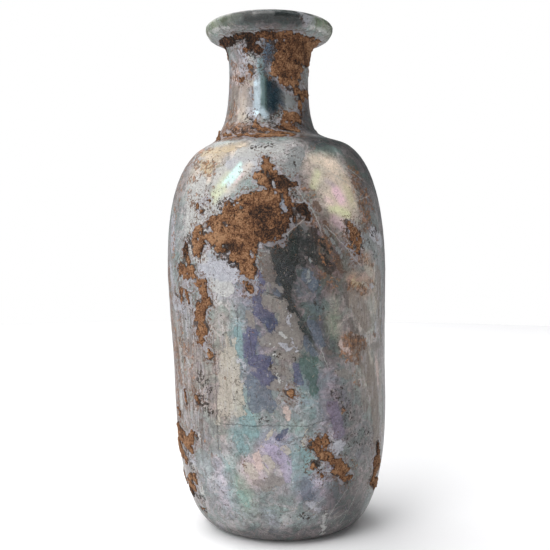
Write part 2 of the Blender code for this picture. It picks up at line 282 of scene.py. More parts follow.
# The film's layers, lowest first. Strokes of each colour: angle, height, angle, height and half the width.
LOWER_FILM = {
    "violet": [
        (-9, 60, -9, 55, 1.3), (-10, 64, -7, 61, 0.8), (-13, 50.6, -14.5, 46, 1.6),
        (-12, 44, -6, 43.4, 1.7), (-10, 41, -5, 39, 1.5), (8, 42.4, 9, 39, 1.0), (124, 46, 128, 36, 1.8),
    ],
    "blue": [
        (-6, 54, -2, 51, 1.6), (-3.5, 51, -1.5, 50, 0.9), (-5, 44, -4, 40, 1.1), (-2, 26.6, 2, 28.4, 0.5),
    ],
    "slate_blue": [
        (-13, 39, -12, 34, 1.7), (-8, 37, -5, 34, 1.5), (13, 49, 17, 45.4, 1.2), (-6, 72, 2, 71.6, 0.9),
        (1, 61, 0, 58.4, 0.9), (16, 52, 20, 47, 1.2), (14, 63, 18, 60, 1.3), (11, 16, 13.6, 12.6, 1.3),
        (-150, 66, -146, 58, 1.8),
    ],
    "pale_teal": [
        (-20, 51, -19, 44, 1.0), (-18, 32, -15, 28, 1.6), (12, 24, 14, 19, 1.2), (-22, 27, -19, 23, 1.3),
    ],
    "teal": [
        (10, 44, 17, 43.6, 1.1), (13, 42, 16, 40, 1.5), (16, 39, 17, 36.6, 1.0), (-116, 30, -112, 22, 1.6),
    ],
    "bottle": [
        (2.5, 58, 8, 54, 0.8), (4, 72.6, 7, 66, 1.9), (9, 75, 8.8, 65, 0.5), (3, 60.4, 5.5, 59.2, 0.7),
        (6, 62, 4, 58, 1.0), (22, 70, 26, 68, 1.0), (-4, 124.3, 14, 124, 0.7),
    ],
    "slate": [
        (7, 54, 13, 49, 1.1), (1, 70, 1, 62, 1.8), (-4, 70.2, 0, 69.6, 1.2), (7, 66, 6, 61.4, 1.2),
        (11, 73, 12.4, 65, 0.9), (11, 51, 18, 46, 1.0), (16, 71, 18, 66, 1.3), (-16, 123.6, 22, 123.4, 1.5),
        (-30, 123.4, -18, 122.8, 0.9), (160, 84, 166, 76, 2.0),
    ],
    "umber": [(18, 72.4, 20, 70, 1.0), (22, 66, 27, 64, 1.3)],
    "lilac": [
        (-7, 24.4, -2, 24, 0.9), (-5, 22.8, -1, 21.4, 0.9), (0, 24, 2, 18, 1.0), (-8.5, 20.6, -5, 19, 0.6),
        (2.4, 22, 3, 17, 0.7), (24, 19.6, 27, 18.4, 0.7),
    ],
    "heather": [(26, 33, 30, 27, 1.5)],
    "mint": [(-23, 13, -20, 11, 1.0)],
}
MIDDLE_FILM = {
    "taupe": [
        (-5, 66.4, -3, 63, 1.5), (34, 60, 36, 56, 0.8), (38, 52, 40, 49, 0.7), (22, 45.8, 25, 45, 0.5),
    ],
    "beige": [
        (-5, 57.4, 1, 56.4, 1.6), (4, 53.4, 7, 51.8, 1.7), (-6, 48.4, 8, 48, 1.6), (1, 51, 9, 49.6, 1.5),
        (0, 45, 8, 45, 1.2), (-2, 42.4, 4, 41, 1.2), (-3, 38.6, 4, 38, 1.2), (2, 36, 5, 34.4, 1.0),
        (-14, 54.6, -12, 51.8, 0.8), (-1, 60.8, 2, 59.4, 0.6), (-14, 16.6, -7, 15.4, 1.1),
        (-6, 17.8, -2, 16.6, 1.1), (32, 40, 36, 39, 0.8), (28, 41, 31, 40, 0.5), (46, 35, 48, 31, 0.9),
        (56, 45, 68, 45.4, 1.0), (-40, 107, -30, 103, 2.2), (130, 60, 136, 52, 2.4),
        (-140, 32, -132, 28, 1.6),
    ],
    "rose": [
        (2, 33.4, 3, 31.2, 0.8), (-13, 22.4, -11, 19.8, 0.9), (-12.6, 24, -12, 25.2, 0.4),
        (33, 46.4, 36, 45, 1.4), (46, 54, 47, 51, 0.8), (60, 42, 62, 36, 0.8),
    ],
    "cream": [
        (-25, 45, -24, 40, 2.0), (-22.5, 44, -21.6, 33, 1.6), (-28, 40, -27, 33, 1.8),
        (-26, 50, -25, 46, 0.5), (-22, 49, -22, 46, 0.4), (-29, 47, -29, 42, 0.5),
        (-30, 36, -31, 31.5, 1.1), (-24, 32.6, -20, 32.4, 1.2), (-31, 31.5, -33, 29.8, 0.7),
        (-8, 22, -5.6, 20.6, 0.9), (-9.4, 20.4, -7, 18.6, 0.6), (-17, 19.6, -14, 17.4, 1.2),
        (-18, 21.8, -18.6, 20.4, 0.5), (-2, 25.2, 0, 23.4, 0.3), (2.6, 24.6, 3.6, 22.6, 0.3),
        (10.6, 25.2, 13.4, 27.8, 0.35), (11.2, 26, 11.8, 26.6, 0.6), (-10, 25.6, -6, 27, 0.5),
        (-7, 26.4, -3, 29, 0.35), (50, 64, 54, 62, 0.8), (56, 57, 58, 53, 0.9), (52, 44, 56, 38, 0.9),
        (47, 60, 50, 59, 0.6), (-36, 110.2, -22, 109, 0.9), (-34, 101, -26, 99.6, 1.2),
        (160, 40, 166, 34, 1.8),
    ],
    "warm_grey": [
        (40, 57, 50, 51, 2.4), (44, 46, 54, 38, 2.4), (56, 36, 60, 24, 2.2), (62, 62, 68, 48, 1.6),
        (-58, 108, -50, 100, 1.1), (-124, 58, -118, 50, 2.0),
    ],
    "gold": [(40, 60.4, 44, 59.6, 0.7), (-56, 92, -30, 92.4, 1.2), (-48, 89.4, -40, 87.6, 1.2)],
    "brown": [(24, 74, 26, 71, 0.9), (30, 66, 33, 63, 1.0), (20, 78.6, 22, 77, 0.6)],
    "rust": [
        (-72, 96.4, -40, 95.6, 0.9), (-40, 97.6, -30, 97.4, 0.6), (-62, 99, -50, 98.6, 0.7),
        (-84, 94, -58, 92.8, 0.8),
    ],
    "white": [(-58, 124, -50, 122.4, 0.3)],
    "rim_green": [(120, 123, 150, 123, 1.2)],
}
UPPER_FILM = {
    "white": [
        (-46, 84, -46, 76, 3.0), (-30, 86, -28, 80, 2.8), (-20, 91, 2, 91.5, 1.7), (-44, 69, -36, 66, 1.8),
        (-31, 61, -23, 60.2, 1.8), (-64, 35, -64, 31, 1.2), (-56, 45, -50, 41, 0.6),
        (-56, 17, -52, 12, 1.2), (38, 70, 40, 69.4, 0.7), (64, 56, 66, 52, 0.6), (48, 48, 50, 46, 0.4),
        (-30, 115, -22, 113.6, 0.8), (-20, 99, -16, 97.6, 0.5), (24, 8, 27, 2, 0.45), (1, 50, 4, 49, 0.3),
        (-1, 41, 1, 39, 0.2), (-4, 48, -2, 45, 0.2), (-14, 124.7, 2, 124.7, 0.5), (44, 124, 52, 124.2, 0.5),
        # The white strokes at 121.4 to 121.9 mm, here and round the back, paint a highlight along the rim's
        # lower rounding.
        (-74, 121.9, -40, 121.4, 0.5), (44, 121.5, 80, 121.8, 0.6), (-72, 123.4, -64, 124.2, 0.5),
        (-60, 46, -61, 38, 0.4), (-48, 27, -46, 24, 0.4), (120, 84, 150, 78, 3.4),
        (-150, 50, -130, 44, 3.8), (-170, 30, -150, 24, 2.6), (100, 121.6, 178, 121.4, 0.4),
        (-178, 121.4, -90, 121.6, 0.4), (140, 124, 170, 124.2, 0.7),
    ],
    "lilac_white": [
        (-24, 88, -8, 88, 2.2), (-36, 65, -22, 64, 2.6), (-64, 57, -56, 56, 1.8), (-68, 76, -66, 70, 1.8),
        (-62, 20, -54, 19, 1.0), (22, 23.4, 30, 23.4, 1.5), (23, 18.6, 25, 18, 0.7), (37, 73, 38, 71, 0.5),
        (56, 72, 68, 70, 1.6), (52, 60, 56, 59, 0.5), (58, 50, 59, 47, 0.4), (-41, 117, -34, 114.6, 1.2),
        (-40, 112.6, -36, 112.2, 0.9), (-16, 113.6, -14, 108, 0.8), (-20, 106.5, -15, 103, 1.0),
        (-24, 102, -16, 100, 1.1), (-19, 44.2, -16.8, 42.8, 0.6), (14, 11, 20, 9, 0.8),
        (2, 47.6, 4, 46.6, 0.7), (4, 55, 6, 51, 0.3), (6, 49, 8, 46, 0.25), (3, 39, 4, 36, 0.2),
        (-50, 62, -46, 60, 0.7), (-70, 66, -66, 60, 0.9), (-14, 66.6, -11, 67.2, 0.7),
        (-10, 69.4, -7, 69.6, 0.4), (26, 124.4, 34, 123.6, 0.6), (30, 123.4, 44, 122.6, 0.9),
        (-70, 50, -72, 36, 0.5), (100, 50, 110, 40, 3.0), (-110, 74, -96, 66, 3.2),
        (-100, 110, -90, 104, 1.4),
    ],
    "silver": [
        (8, 86, 14, 91, 1.6), (60, 68, 68, 62, 1.2), (20, 105, 34, 105.4, 0.9), (32, 104, 44, 103, 1.2),
        (34, 102.2, 40, 102, 0.5), (50, 111, 64, 110, 1.2), (54, 108, 60, 106, 0.6), (66, 56, 70, 46, 0.6),
        (70, 34, 72, 26, 0.8), (16, 66, 14, 61, 0.35), (22, 74, 34, 66, 0.3), (4, 84, 20, 76, 0.3),
        (170, 70, 178, 60, 3.6), (140, 40, 150, 30, 2.4), (-160, 108, -130, 102, 2.0),
    ],
    "dusk": [(2, 78, 5, 77.6, 0.8), (3, 80.4, 4, 79.6, 0.5)],
    "sky": [(3, 112.6, 5, 111, 0.25), (-12, 63.4, -8, 61.6, 0.35)],
}

# Clear glass, where little film is left.
CLEAR_GLASS = [
    (1, 118.2, 2, 114.4, 0.8), (-3, 117.4, -6, 112, 1.2), (-9, 115, -8, 112.4, 0.9),
    (-10, 111, -8, 108.4, 1.4), (-4, 109.4, 7, 106.6, 2.1), (-12, 106, 11, 105.4, 2.2),
    (-10, 103.4, 14, 103.6, 1.8), (-6, 101.4, 5, 101.8, 1.1), (-1, 100.2, 0, 99.8, 0.6),
]

# Where the film runs in streaks down the wall.
STREAKED = [
    (-74, 60, -70, 22, 7.0, 1.0), (-52, 56, -48, 28, 5.0, 0.9), (-80, 80, -76, 64, 5.0, 0.8),
    (66, 58, 72, 26, 6.0, 0.7), (46, 52, 50, 30, 5.0, 0.5), (-54, 112, -52, 98, 2.6, 0.6),
    (-28, 52, -26, 30, 2.4, 0.35), (74, 92, 78, 74, 4.0, 0.4), (130, 60, 134, 24, 9.0, 0.7),
    (-130, 66, -126, 24, 9.0, 0.7), (178, 60, 179, 30, 8.0, 0.6), (-160, 30, -156, 10, 7.0, 0.5),
]

# Thinner film, through which the dark inside shows. The last number is how clear it is.
DIM_FILM = [
    (6, 72, 8, 61, 2.4, 0.3), (1, 70, 2, 61, 1.5, 0.35), (16, 70, 17, 64, 1.6, 0.25),
    (4, 59, 15, 47, 0.8, 0.4), (30, 94, 60, 93.5, 2.2, 0.6), (64, 92, 78, 84, 3.0, 0.55),
    (22, 70, 26, 66, 2.2, 0.3), (60, 104, 74, 98, 3.4, 0.45), (40, 97.5, 80, 96, 2.0, 0.6),
    (13, 44, 16, 38, 1.8, 0.25), (36, 12, 50, 5, 4.0, 0.35), (-6, 123.4, 34, 123.6, 1.5, 0.5),
    (-40, 123, -24, 123, 1.2, 0.25), (20, 56, 26, 48, 2.6, 0.3), (100, 20, 130, 8, 4.0, 0.4),
    (150, 94, 178, 93, 2.0, 0.5), (-178, 104, -150, 102, 2.6, 0.5), (-140, 123, -100, 123, 1.4, 0.4),
    (70, 123, 150, 123, 1.4, 0.4), (78, 58, 84, 40, 2.4, 0.35),
]

# Earth stains that follow the glass's flow. The last number is how strong they are.
STAINS = [
    (-66, 114.6, -54, 113, 1.2, 0.8), (-62, 111, -44, 110, 0.9, 0.7), (-54, 105, -53, 101.6, 0.4, 0.9),
    (-60, 98, -16, 97.4, 1.9, 0.85), (-82, 96, -30, 95, 1.7, 1.0), (-30, 95.2, 24, 94.9, 0.8, 0.9),
    (-84, 93, -60, 91, 1.8, 0.8), (-80, 90, -70, 84, 2.2, 0.55), (-60, 102, -54, 98, 1.2, 0.8),
    (-48, 104, -46, 99, 0.4, 0.7), (-72, 112, -70, 100, 0.9, 0.6), (-22, 107.4, -20, 104.6, 0.3, 0.7),
    (-56, 89.6, -38, 88.6, 1.4, 0.75), (-48, 86, -36, 86.8, 1.3, 0.65), (-56, 86, -48, 86, 1.4, 0.7),
    (-52, 83, -49, 80, 1.1, 0.7), (-74, 64, -72, 28, 2.2, 0.7), (-60, 54, -57, 40, 1.4, 0.65),
    (-52, 47, -50, 36, 1.2, 0.6), (-68, 80, -64, 66, 1.4, 0.6), (-34, 83.6, -33, 83, 0.5, 0.8),
    (-46, 82, -38, 83, 0.8, 0.45), (-70, 90, -50, 93, 1.6, 0.7), (-62, 84, -64, 72, 0.9, 0.5),
    (50, 86, 53, 74, 2.4, 0.8), (56, 82, 60, 78, 1.6, 0.7), (14, 82, 19, 81, 0.9, 0.7),
    (22, 70, 26, 66, 2.0, 0.6), (20, 74, 30, 72, 1.2, 0.45), (34, 72, 38, 70, 1.0, 0.7),
    (22, 62, 30, 60.6, 1.6, 0.55), (42, 66, 54, 65, 1.6, 0.6), (38, 60, 48, 58.4, 1.5, 0.8),
    (50, 60.6, 58, 59, 1.0, 0.6), (36, 47.6, 46, 46, 1.9, 1.0), (33, 44, 42, 43, 1.6, 0.8),
    (56, 48, 59, 47.6, 0.6, 0.8), (40, 40, 42, 37, 1.2, 0.5), (38, 36.4, 40, 36, 0.5, 0.6),
    (32, 32, 33, 30.6, 0.6, 0.8), (-62, 48, -54, 46, 1.0, 0.8), (-70, 52, -66, 44, 1.3, 0.9),
    (-66, 42, -64, 38, 1.2, 0.8), (-70, 40, -69, 32, 1.2, 0.8), (-48, 47, -50, 40, 0.7, 0.6),
    (-58, 37, -58, 32, 0.7, 0.8), (-50, 37, -47, 33, 0.9, 0.7), (-34, 34, -33.4, 23, 0.3, 0.55),
    (-33.6, 47, -33, 40, 0.3, 0.6), (-29, 41, -28, 38, 0.6, 0.3), (-45, 24, -38, 21, 2.0, 0.35),
    (-68, 29, -60, 27, 1.4, 0.6), (-20, 22, -20, 20, 0.8, 0.5), (66, 20, 68, 14, 1.4, 0.6),
    (-9, 17.4, -8, 17.2, 0.3, 0.7), (40, 20, 42, 18, 0.8, 0.3), (-22, 90, -60, 92, 0.9, 0.35),
    (-39, 113.6, -36, 113, 0.6, 0.5), (-42, 109.6, -27, 110.2, 0.7, 0.9), (60, 74, 62, 70, 1.0, 0.5),
    (-76, 66, -70, 58, 1.2, 0.5), (110, 86, 130, 80, 2.4, 0.6), (96, 60, 100, 44, 1.6, 0.7),
    (140, 30, 146, 20, 1.6, 0.6), (-100, 60, -96, 40, 1.8, 0.7), (-130, 90, -120, 84, 2.0, 0.6),
    (-160, 60, -156, 44, 1.4, 0.5), (170, 50, 176, 36, 1.6, 0.5), (-150, 14, -130, 10, 1.8, 0.5),
]

# Where black specks gather. The last number is how many there are.
SPECKS = [
    (-28, 79.5, -22, 79, 1.2, 0.9), (-23, 78.4, -28, 77.6, 0.8, 0.7), (-50, 72, -45, 71.4, 1.2, 0.9),
    (-24, 70, -17, 69.4, 1.2, 0.9), (-22, 65.8, -16, 65.4, 1.0, 0.9), (-29, 67.6, -25, 67, 0.8, 0.8),
    (8, 82, 10, 80, 0.9, 0.8), (8, 77, 12, 76, 0.9, 0.8), (-14, 92, -2, 92.6, 0.9, 0.8),
    (8, 90, 16, 93, 1.6, 0.35), (10, 87.6, 11, 87.8, 0.5, 0.9), (-5, 110, 5, 119, 0.6, 0.2),
    (-28, 119, -14, 118, 1.6, 0.9), (-60, 119, -30, 119.4, 0.9, 0.7), (-36, 117, -20, 115, 1.0, 0.7),
    (5, 119, 9, 113, 0.8, 1.0), (10, 113, 17, 112.6, 0.5, 0.8), (28, 107.6, 36, 107, 0.7, 1.0),
    (0, 99.6, 16, 101.4, 1.0, 0.9), (3, 98.6, 9, 97.6, 0.9, 1.0), (-30, 101, -20, 98, 1.4, 0.6),
    (-46, 97.6, -38, 97, 1.0, 0.8), (-30, 97, -22, 96.6, 1.0, 0.9), (28, 123, 32, 122.4, 0.5, 1.0),
    (46, 106, 50, 101.6, 0.5, 0.9), (56, 71.4, 62, 72.4, 0.8, 1.0), (52, 70, 54, 69, 0.8, 0.7),
    (56, 67, 60, 66, 1.0, 0.6), (36, 72.6, 37, 72, 0.5, 1.0), (-44, 40, -38, 37, 1.6, 0.7),
    (-44, 35, -38, 32, 1.4, 0.8), (-62, 22, -58, 17, 1.4, 0.7), (-62, 9.4, -52, 9.8, 0.8, 1.0),
    (-66, 10, -72, 9.6, 0.8, 0.9), (-62, 6, -55, 6.4, 0.9, 1.0), (58, 14, 62, 12.4, 0.8, 1.0),
    (62, 22, 65, 20, 0.8, 0.8), (10, 8.6, 14, 7.2, 0.9, 0.8), (-10, 31, -7, 30.6, 0.8, 0.7),
    (-26, 50, -20, 34, 2.2, 0.2), (1, 58.8, 5, 57.6, 0.9, 0.5), (12, 57, 22, 55, 1.6, 0.4),
    (-2, 46, 0, 45, 0.6, 0.8), (-4, 43, -1, 40, 0.7, 0.7), (7, 45, 8, 44, 0.5, 0.7),
    (16, 20.6, 20, 18, 0.7, 0.8), (31, 21.6, 34, 21, 0.7, 0.7), (-18, 42, -17, 40.8, 0.6, 0.5),
    (30, 36, 36, 30, 2.6, 0.45), (38, 25, 52, 24, 2.6, 0.45), (-14, 60.4, -15, 61, 0.8, 0.7),
    (-38, 92, -30, 84, 3.0, 0.2), (-50, 56, -62, 44, 3.0, 0.3), (-160, 84, -140, 72, 4.0, 0.6),
    (-104, 90, -96, 80, 3.0, 0.5), (150, 64, 160, 46, 3.0, 0.6), (130, 24, 150, 12, 3.0, 0.6),
    (100, 116, 130, 112, 1.5, 0.7), (-130, 20, -84, 10, 3.0, 0.5), (100, 40, 104, 28, 2.0, 0.5),
]

# Broad soft colours of the film, painted one over the other: angle, height, angle, height, half the width,
# colour and strength. A few, noted below, are partly painted highlights and painted dark reflection.
WASHES = [
    (-55, 48, -45, 32, 8.0, "warm_grey", 0.9), (-70, 50, -72, 20, 5.0, "warm_grey", 0.8),
    (-60, 60, -55, 54, 5.0, "silver", 0.7), (-48, 84, -40, 72, 7.0, "white", 0.8),
    (-26, 90, 8, 91, 4.0, "white", 0.8), (-32, 66, -24, 60, 5.0, "lilac_white", 0.9),
    # The gold along the top of the left shoulder is partly honey film and partly a painted highlight.
    (-60, 78, -66, 62, 4.0, "silver", 0.6), (-46, 92, -24, 92.6, 2.2, "gold", 0.9),
    (-40, 90, -34, 87, 2.4, "gold", 0.7), (-52, 88, -44, 85, 2.6, "gold", 0.45),
    (-27, 54, -24, 50, 3.4, "beige", 0.8), (-28, 56, -28, 46, 2.6, "cream", 0.35),
    (-24, 44, -24, 33, 3.0, "cream", 0.9), (-34, 50, -34, 28, 3.0, "warm_grey", 0.7),
    (-20, 56, -18, 52, 2.0, "silver", 0.7), (-20, 52, -19, 42, 1.9, "pale_teal", 0.8),
    (-14, 62, -8, 50, 3.4, "violet", 0.5), (-12, 46, -8, 38, 4.2, "violet", 0.6),
    (-12, 36, -8, 31, 4.0, "silver", 0.5), (-18, 36, -16, 27, 3.0, "pale_teal", 0.7),
    (-18, 34, -16, 29, 2.0, "mint", 0.6), (-22, 28, -21, 22, 2.4, "pale_teal", 0.7),
    (-4, 64, -2, 60, 2.4, "taupe", 0.6), (2, 56, 6, 46, 4.6, "taupe", 0.8),
    (0, 44, 2, 36, 3.4, "beige", 0.5), (6, 72, 8, 60, 3.6, "slate", 0.9),
    (14, 68, 18, 60, 3.6, "slate", 0.7), (16, 58, 22, 48, 3.4, "slate", 0.5),
    (5, 60, 16, 46, 1.6, "bottle", 0.9), (20, 58, 24, 46, 4.4, "slate", 0.8),
    (18, 47, 19, 45.6, 0.9, "pink", 0.5), (13, 44, 15, 38, 3.0, "teal", 0.8),
    (12, 39, 16, 31, 3.4, "pale_teal", 0.6), (25, 58, 28, 52, 2.4, "olive", 0.8),
    (26, 56, 28, 50, 1.8, "lime", 0.6), (24, 68, 28, 64, 3.4, "taupe", 0.7),
    (30, 44, 34, 36, 3.4, "slate", 0.4), (42, 56, 52, 40, 7.0, "warm_grey", 0.6),
    (46, 56, 56, 34, 5.0, "cream", 0.4), (40, 58, 50, 59, 2.0, "gold", 0.4),
    (24, 38, 26, 28, 3.4, "heather", 0.6), (28, 30, 30, 27, 2.6, "heather", 0.7),
    (36, 32, 44, 24, 5.0, "slate", 0.5), (54, 44, 70, 45.4, 1.8, "beige", 0.6),
    (66, 60, 74, 40, 4.4, "beige", 0.6), (62, 34, 66, 24, 4.0, "warm_grey", 0.6),
    (14, 86, 18, 80, 3.0, "silver", 0.7), (30, 84, 37, 79, 6.0, "nacre", 0.7),
    (22, 87.6, 32, 88, 2.4, "nacre", 0.5), (41, 84, 43, 80, 1.6, "gold", 0.6),
    (31, 75, 36, 73.6, 1.5, "pink", 0.6), (50, 88, 54, 74, 2.8, "brown", 0.7),
    (14, 83, 20, 80, 1.4, "brown", 0.5), (58, 90, 63, 74, 4.0, "umber", 0.7),
    # The slate from 63 degrees out to the right edge is partly dark film and partly painted dark reflection,
    # darkest at the edge.
    (63, 88, 70, 62, 4.4, "slate", 0.8), (22, 70, 27, 66, 2.6, "umber", 0.6),
    (18, 68, 21, 64, 1.8, "umber", 0.7), (28, 70, 30, 67, 1.6, "brown", 0.5),
    (80, 88, 86, 20, 2.4, "slate", 0.5), (12, 74, 26, 62, 3.0, "umber", 0.35),
    (19, 69, 25, 62, 3.6, "umber", 0.7), (18, 76, 24, 70, 2.6, "brown", 0.6),
    (26, 74, 34, 66, 3.0, "brown", 0.6), (28, 66, 36, 60, 2.6, "brown", 0.4),
    (40, 61, 54, 60, 2.4, "rust", 0.55), (50, 66, 56, 63, 1.6, "gold", 0.5),
    (14, 60, 22, 56, 2.4, "slate_blue", 0.5), (-30, 56, -26, 48, 3.0, "mint", 0.15),
    # The bottle green along the top of the right shoulder is partly dark glass and partly painted dark
    # reflection.
    (24, 94.4, 80, 94, 2.8, "bottle", 0.9), (26, 92.4, 36, 91.6, 1.6, "bottle", 0.75),
    (50, 93, 74, 88, 3.0, "bottle", 0.7), (72, 92, 80, 74, 4.6, "bottle", 0.85),
    (-82, 96, -60, 93.6, 2.4, "brown", 0.75), (-80, 92, -64, 86, 3.2, "brown", 0.45),
    (-62, 97.6, 18, 96.4, 1.7, "brown", 0.75), (-74, 70, -72, 30, 2.2, "brown", 0.45),
    (36, 47, 44, 45, 2.4, "rust", 0.7), (-74, 97, -16, 97.2, 1.9, "rust", 0.6),
    (54, 64, 60, 56, 2.0, "gold", 0.35), (60, 44, 66, 40, 1.6, "taupe", 0.5),
    (34, 56, 38, 50, 2.0, "taupe", 0.5), (40, 60, 47, 58.4, 1.8, "rust", 0.45),
    (46, 66, 54, 65, 1.6, "rust", 0.4), (20, 66, 26, 60, 2.0, "brown", 0.35),
    (60, 66, 66, 60, 3.0, "silver", 0.6), (20, 64, 28, 62, 1.6, "brown", 0.3),
    (-46, 30, -38, 27, 3.0, "silver", 0.6), (-44, 24, -38, 20, 3.4, "taupe", 0.55),
    (-46, 16, -30, 10, 5.0, "silver", 0.8), (-30, 22, -28, 12, 3.0, "lilac_white", 0.35),
    (-24, 20, -22, 8, 2.6, "mint", 0.7), (-21, 16, -18, 10, 2.4, "lime", 0.35),
    (-40, 18, -32, 8, 4.0, "lilac_white", 0.45), (-34, 20, -33, 8, 1.4, "lilac", 0.25),
    (-28, 20, -27, 10, 1.2, "pale_teal", 0.35), (-12, 12, 6, 9, 3.0, "pale_teal", 0.3),
    (-17, 20, -12, 17, 2.6, "pink", 0.8), (-10, 24, -9, 20, 1.8, "pink", 0.6),
    (-4, 25, 2, 20, 3.4, "lilac", 0.8), (3, 26, 4, 20, 1.6, "lilac", 0.6),
    (-6, 20, -2, 18, 2.0, "cream", 0.5), (8, 24, 10, 17, 3.0, "pale_teal", 0.9),
    (11, 15, 13, 13, 2.6, "blue", 0.45), (-6, 12, 4, 8, 4.0, "silver", 0.6),
    (-6, 9, 0, 8, 2.0, "mint", 0.5), (17, 15, 26, 12, 3.6, "lilac", 0.5),
    (22, 26, 24, 22, 3.0, "lilac_white", 0.5), (0, 28.6, 10, 29, 1.2, "mint", 0.5),
    # At the foot the wall is lighter just above the heel, in silver, and darker towards the ground, in slate
    # and bottle green.
    (32, 12, 48, 6, 5.0, "slate", 0.6), (-50, 6.4, 30, 6, 2.4, "silver", 0.7),
    (-60, 3.6, 60, 3.2, 1.8, "slate", 0.75), (-60, 1.2, 70, 1.2, 2.1, "bottle", 0.85),
    (30, 9, 50, 5, 3.0, "slate", 0.5), (-70, 2, -30, 2, 2.0, "taupe", 0.4),
    (-44, 110, -30, 101, 3.8, "rose", 0.8), (-60, 104, -54, 98, 2.4, "warm_grey", 0.8),
    (-40, 104, -34, 100, 1.6, "nacre", 0.45), (-24, 106, -22, 100, 1.2, "lilac_white", 0.9),
    # The pale teal and deep teal here start the neck window's gradient, from a painted highlight on its left
    # to the dark glass on its right.
    (-13, 114, -10, 101.6, 1.2, "pale_teal", 1.0), (2, 108.6, 6, 102.4, 1.8, "deep_teal", 1.0),
    (16, 105, 22, 104, 1.0, "slate_blue", 0.6), (1, 118.8, 1, 114, 1.3, "dusk", 0.95),
    (24, 105, 40, 104.4, 1.6, "silver", 0.9), (54, 110.4, 74, 110, 1.5, "silver", 0.5),
    # The slate and bottle green at the right of the neck's foot are partly dark glass and partly painted dark
    # reflection.
    (56, 104, 70, 99, 2.4, "slate", 0.7), (44, 99, 60, 97, 2.0, "slate", 0.6),
    (50, 100, 78, 95, 3.0, "bottle", 0.6), (-80, 110, -70, 100, 2.4, "taupe", 0.6),
    # The rim: its pale greens, and its dark middle, which is partly its own dark glass and partly painted
    # dark reflection.
    (-90, 122.8, -40, 122.8, 2.0, "rim_green", 0.85), (-40, 123, -18, 123, 1.8, "slate", 0.6),
    (-22, 122.3, 26, 122.3, 2.2, "slate", 0.95), (-4, 123.4, 16, 123.2, 0.9, "bottle", 0.6),
    (24, 123.6, 40, 123, 1.6, "silver", 0.6), (46, 122.8, 90, 122.6, 2.0, "rim_green", 0.95),
    (60, 123, 72, 122.6, 1.0, "olive", 0.5), (-84, 122.6, -76, 122, 0.8, "olive", 0.5),
    (22, 122.4, 30, 121.8, 0.9, "slate", 0.7), (90, 123, 178, 123, 1.8, "silver", 0.5),
    (-178, 123, -110, 123, 1.8, "slate", 0.5), (100, 80, 120, 60, 9.0, "silver", 0.5),
    (130, 50, 150, 30, 8.0, "warm_grey", 0.6), (150, 84, 178, 76, 7.0, "lilac_white", 0.6),
    (-170, 60, -150, 40, 8.0, "taupe", 0.5), (-120, 50, -110, 30, 7.0, "silver", 0.6),
    (-140, 84, -110, 80, 6.0, "white", 0.5), (1, 70, 1, 58, 1.9, "slate", 0.85),
    (-5, 70, 0, 69.6, 1.2, "slate", 0.6), (13, 61, 14, 59, 1.6, "slate", 0.5),
    (17, 86, 15, 81, 2.4, "taupe", 0.45), (25, 86, 26, 83, 1.8, "silver", 0.4),
    (-44, 92.6, -30, 93, 1.2, "brown", 0.25), (-23, 100, -19, 99.4, 1.2, "white", 0.6),
    (5, 36.5, 7, 34, 1.5, "lilac_white", 0.45), (-6, 17, 2, 15, 1.8, "lilac_white", 0.35),
    (10, 26.4, 13, 24.6, 1.3, "lilac_white", 0.4), (17, 91.6, 23, 91.4, 1.3, "slate", 0.35),
    (-52, 117.6, -49, 114, 1.1, "taupe", 0.5), (-36, 61, -32, 60, 1.4, "taupe", 0.45),
    (-28, 67, -24, 66, 1.2, "taupe", 0.35), (-50, 35, -46, 33, 1.6, "white", 0.5),
    (-46, 4, -28, 4.6, 1.4, "white", 0.5), (18, 4.6, 30, 4.8, 1.4, "slate", 0.45),
    (46, 56, 56, 34, 5.0, "cream", 0.3), (50, 80, 53, 77, 1.5, "umber", 0.35),
    (110, 16, 150, 10, 6.0, "slate", 0.5), (-150, 20, -100, 12, 6.0, "mint", 0.35),
    (96, 106, 160, 104, 4.0, "beige", 0.6),
]

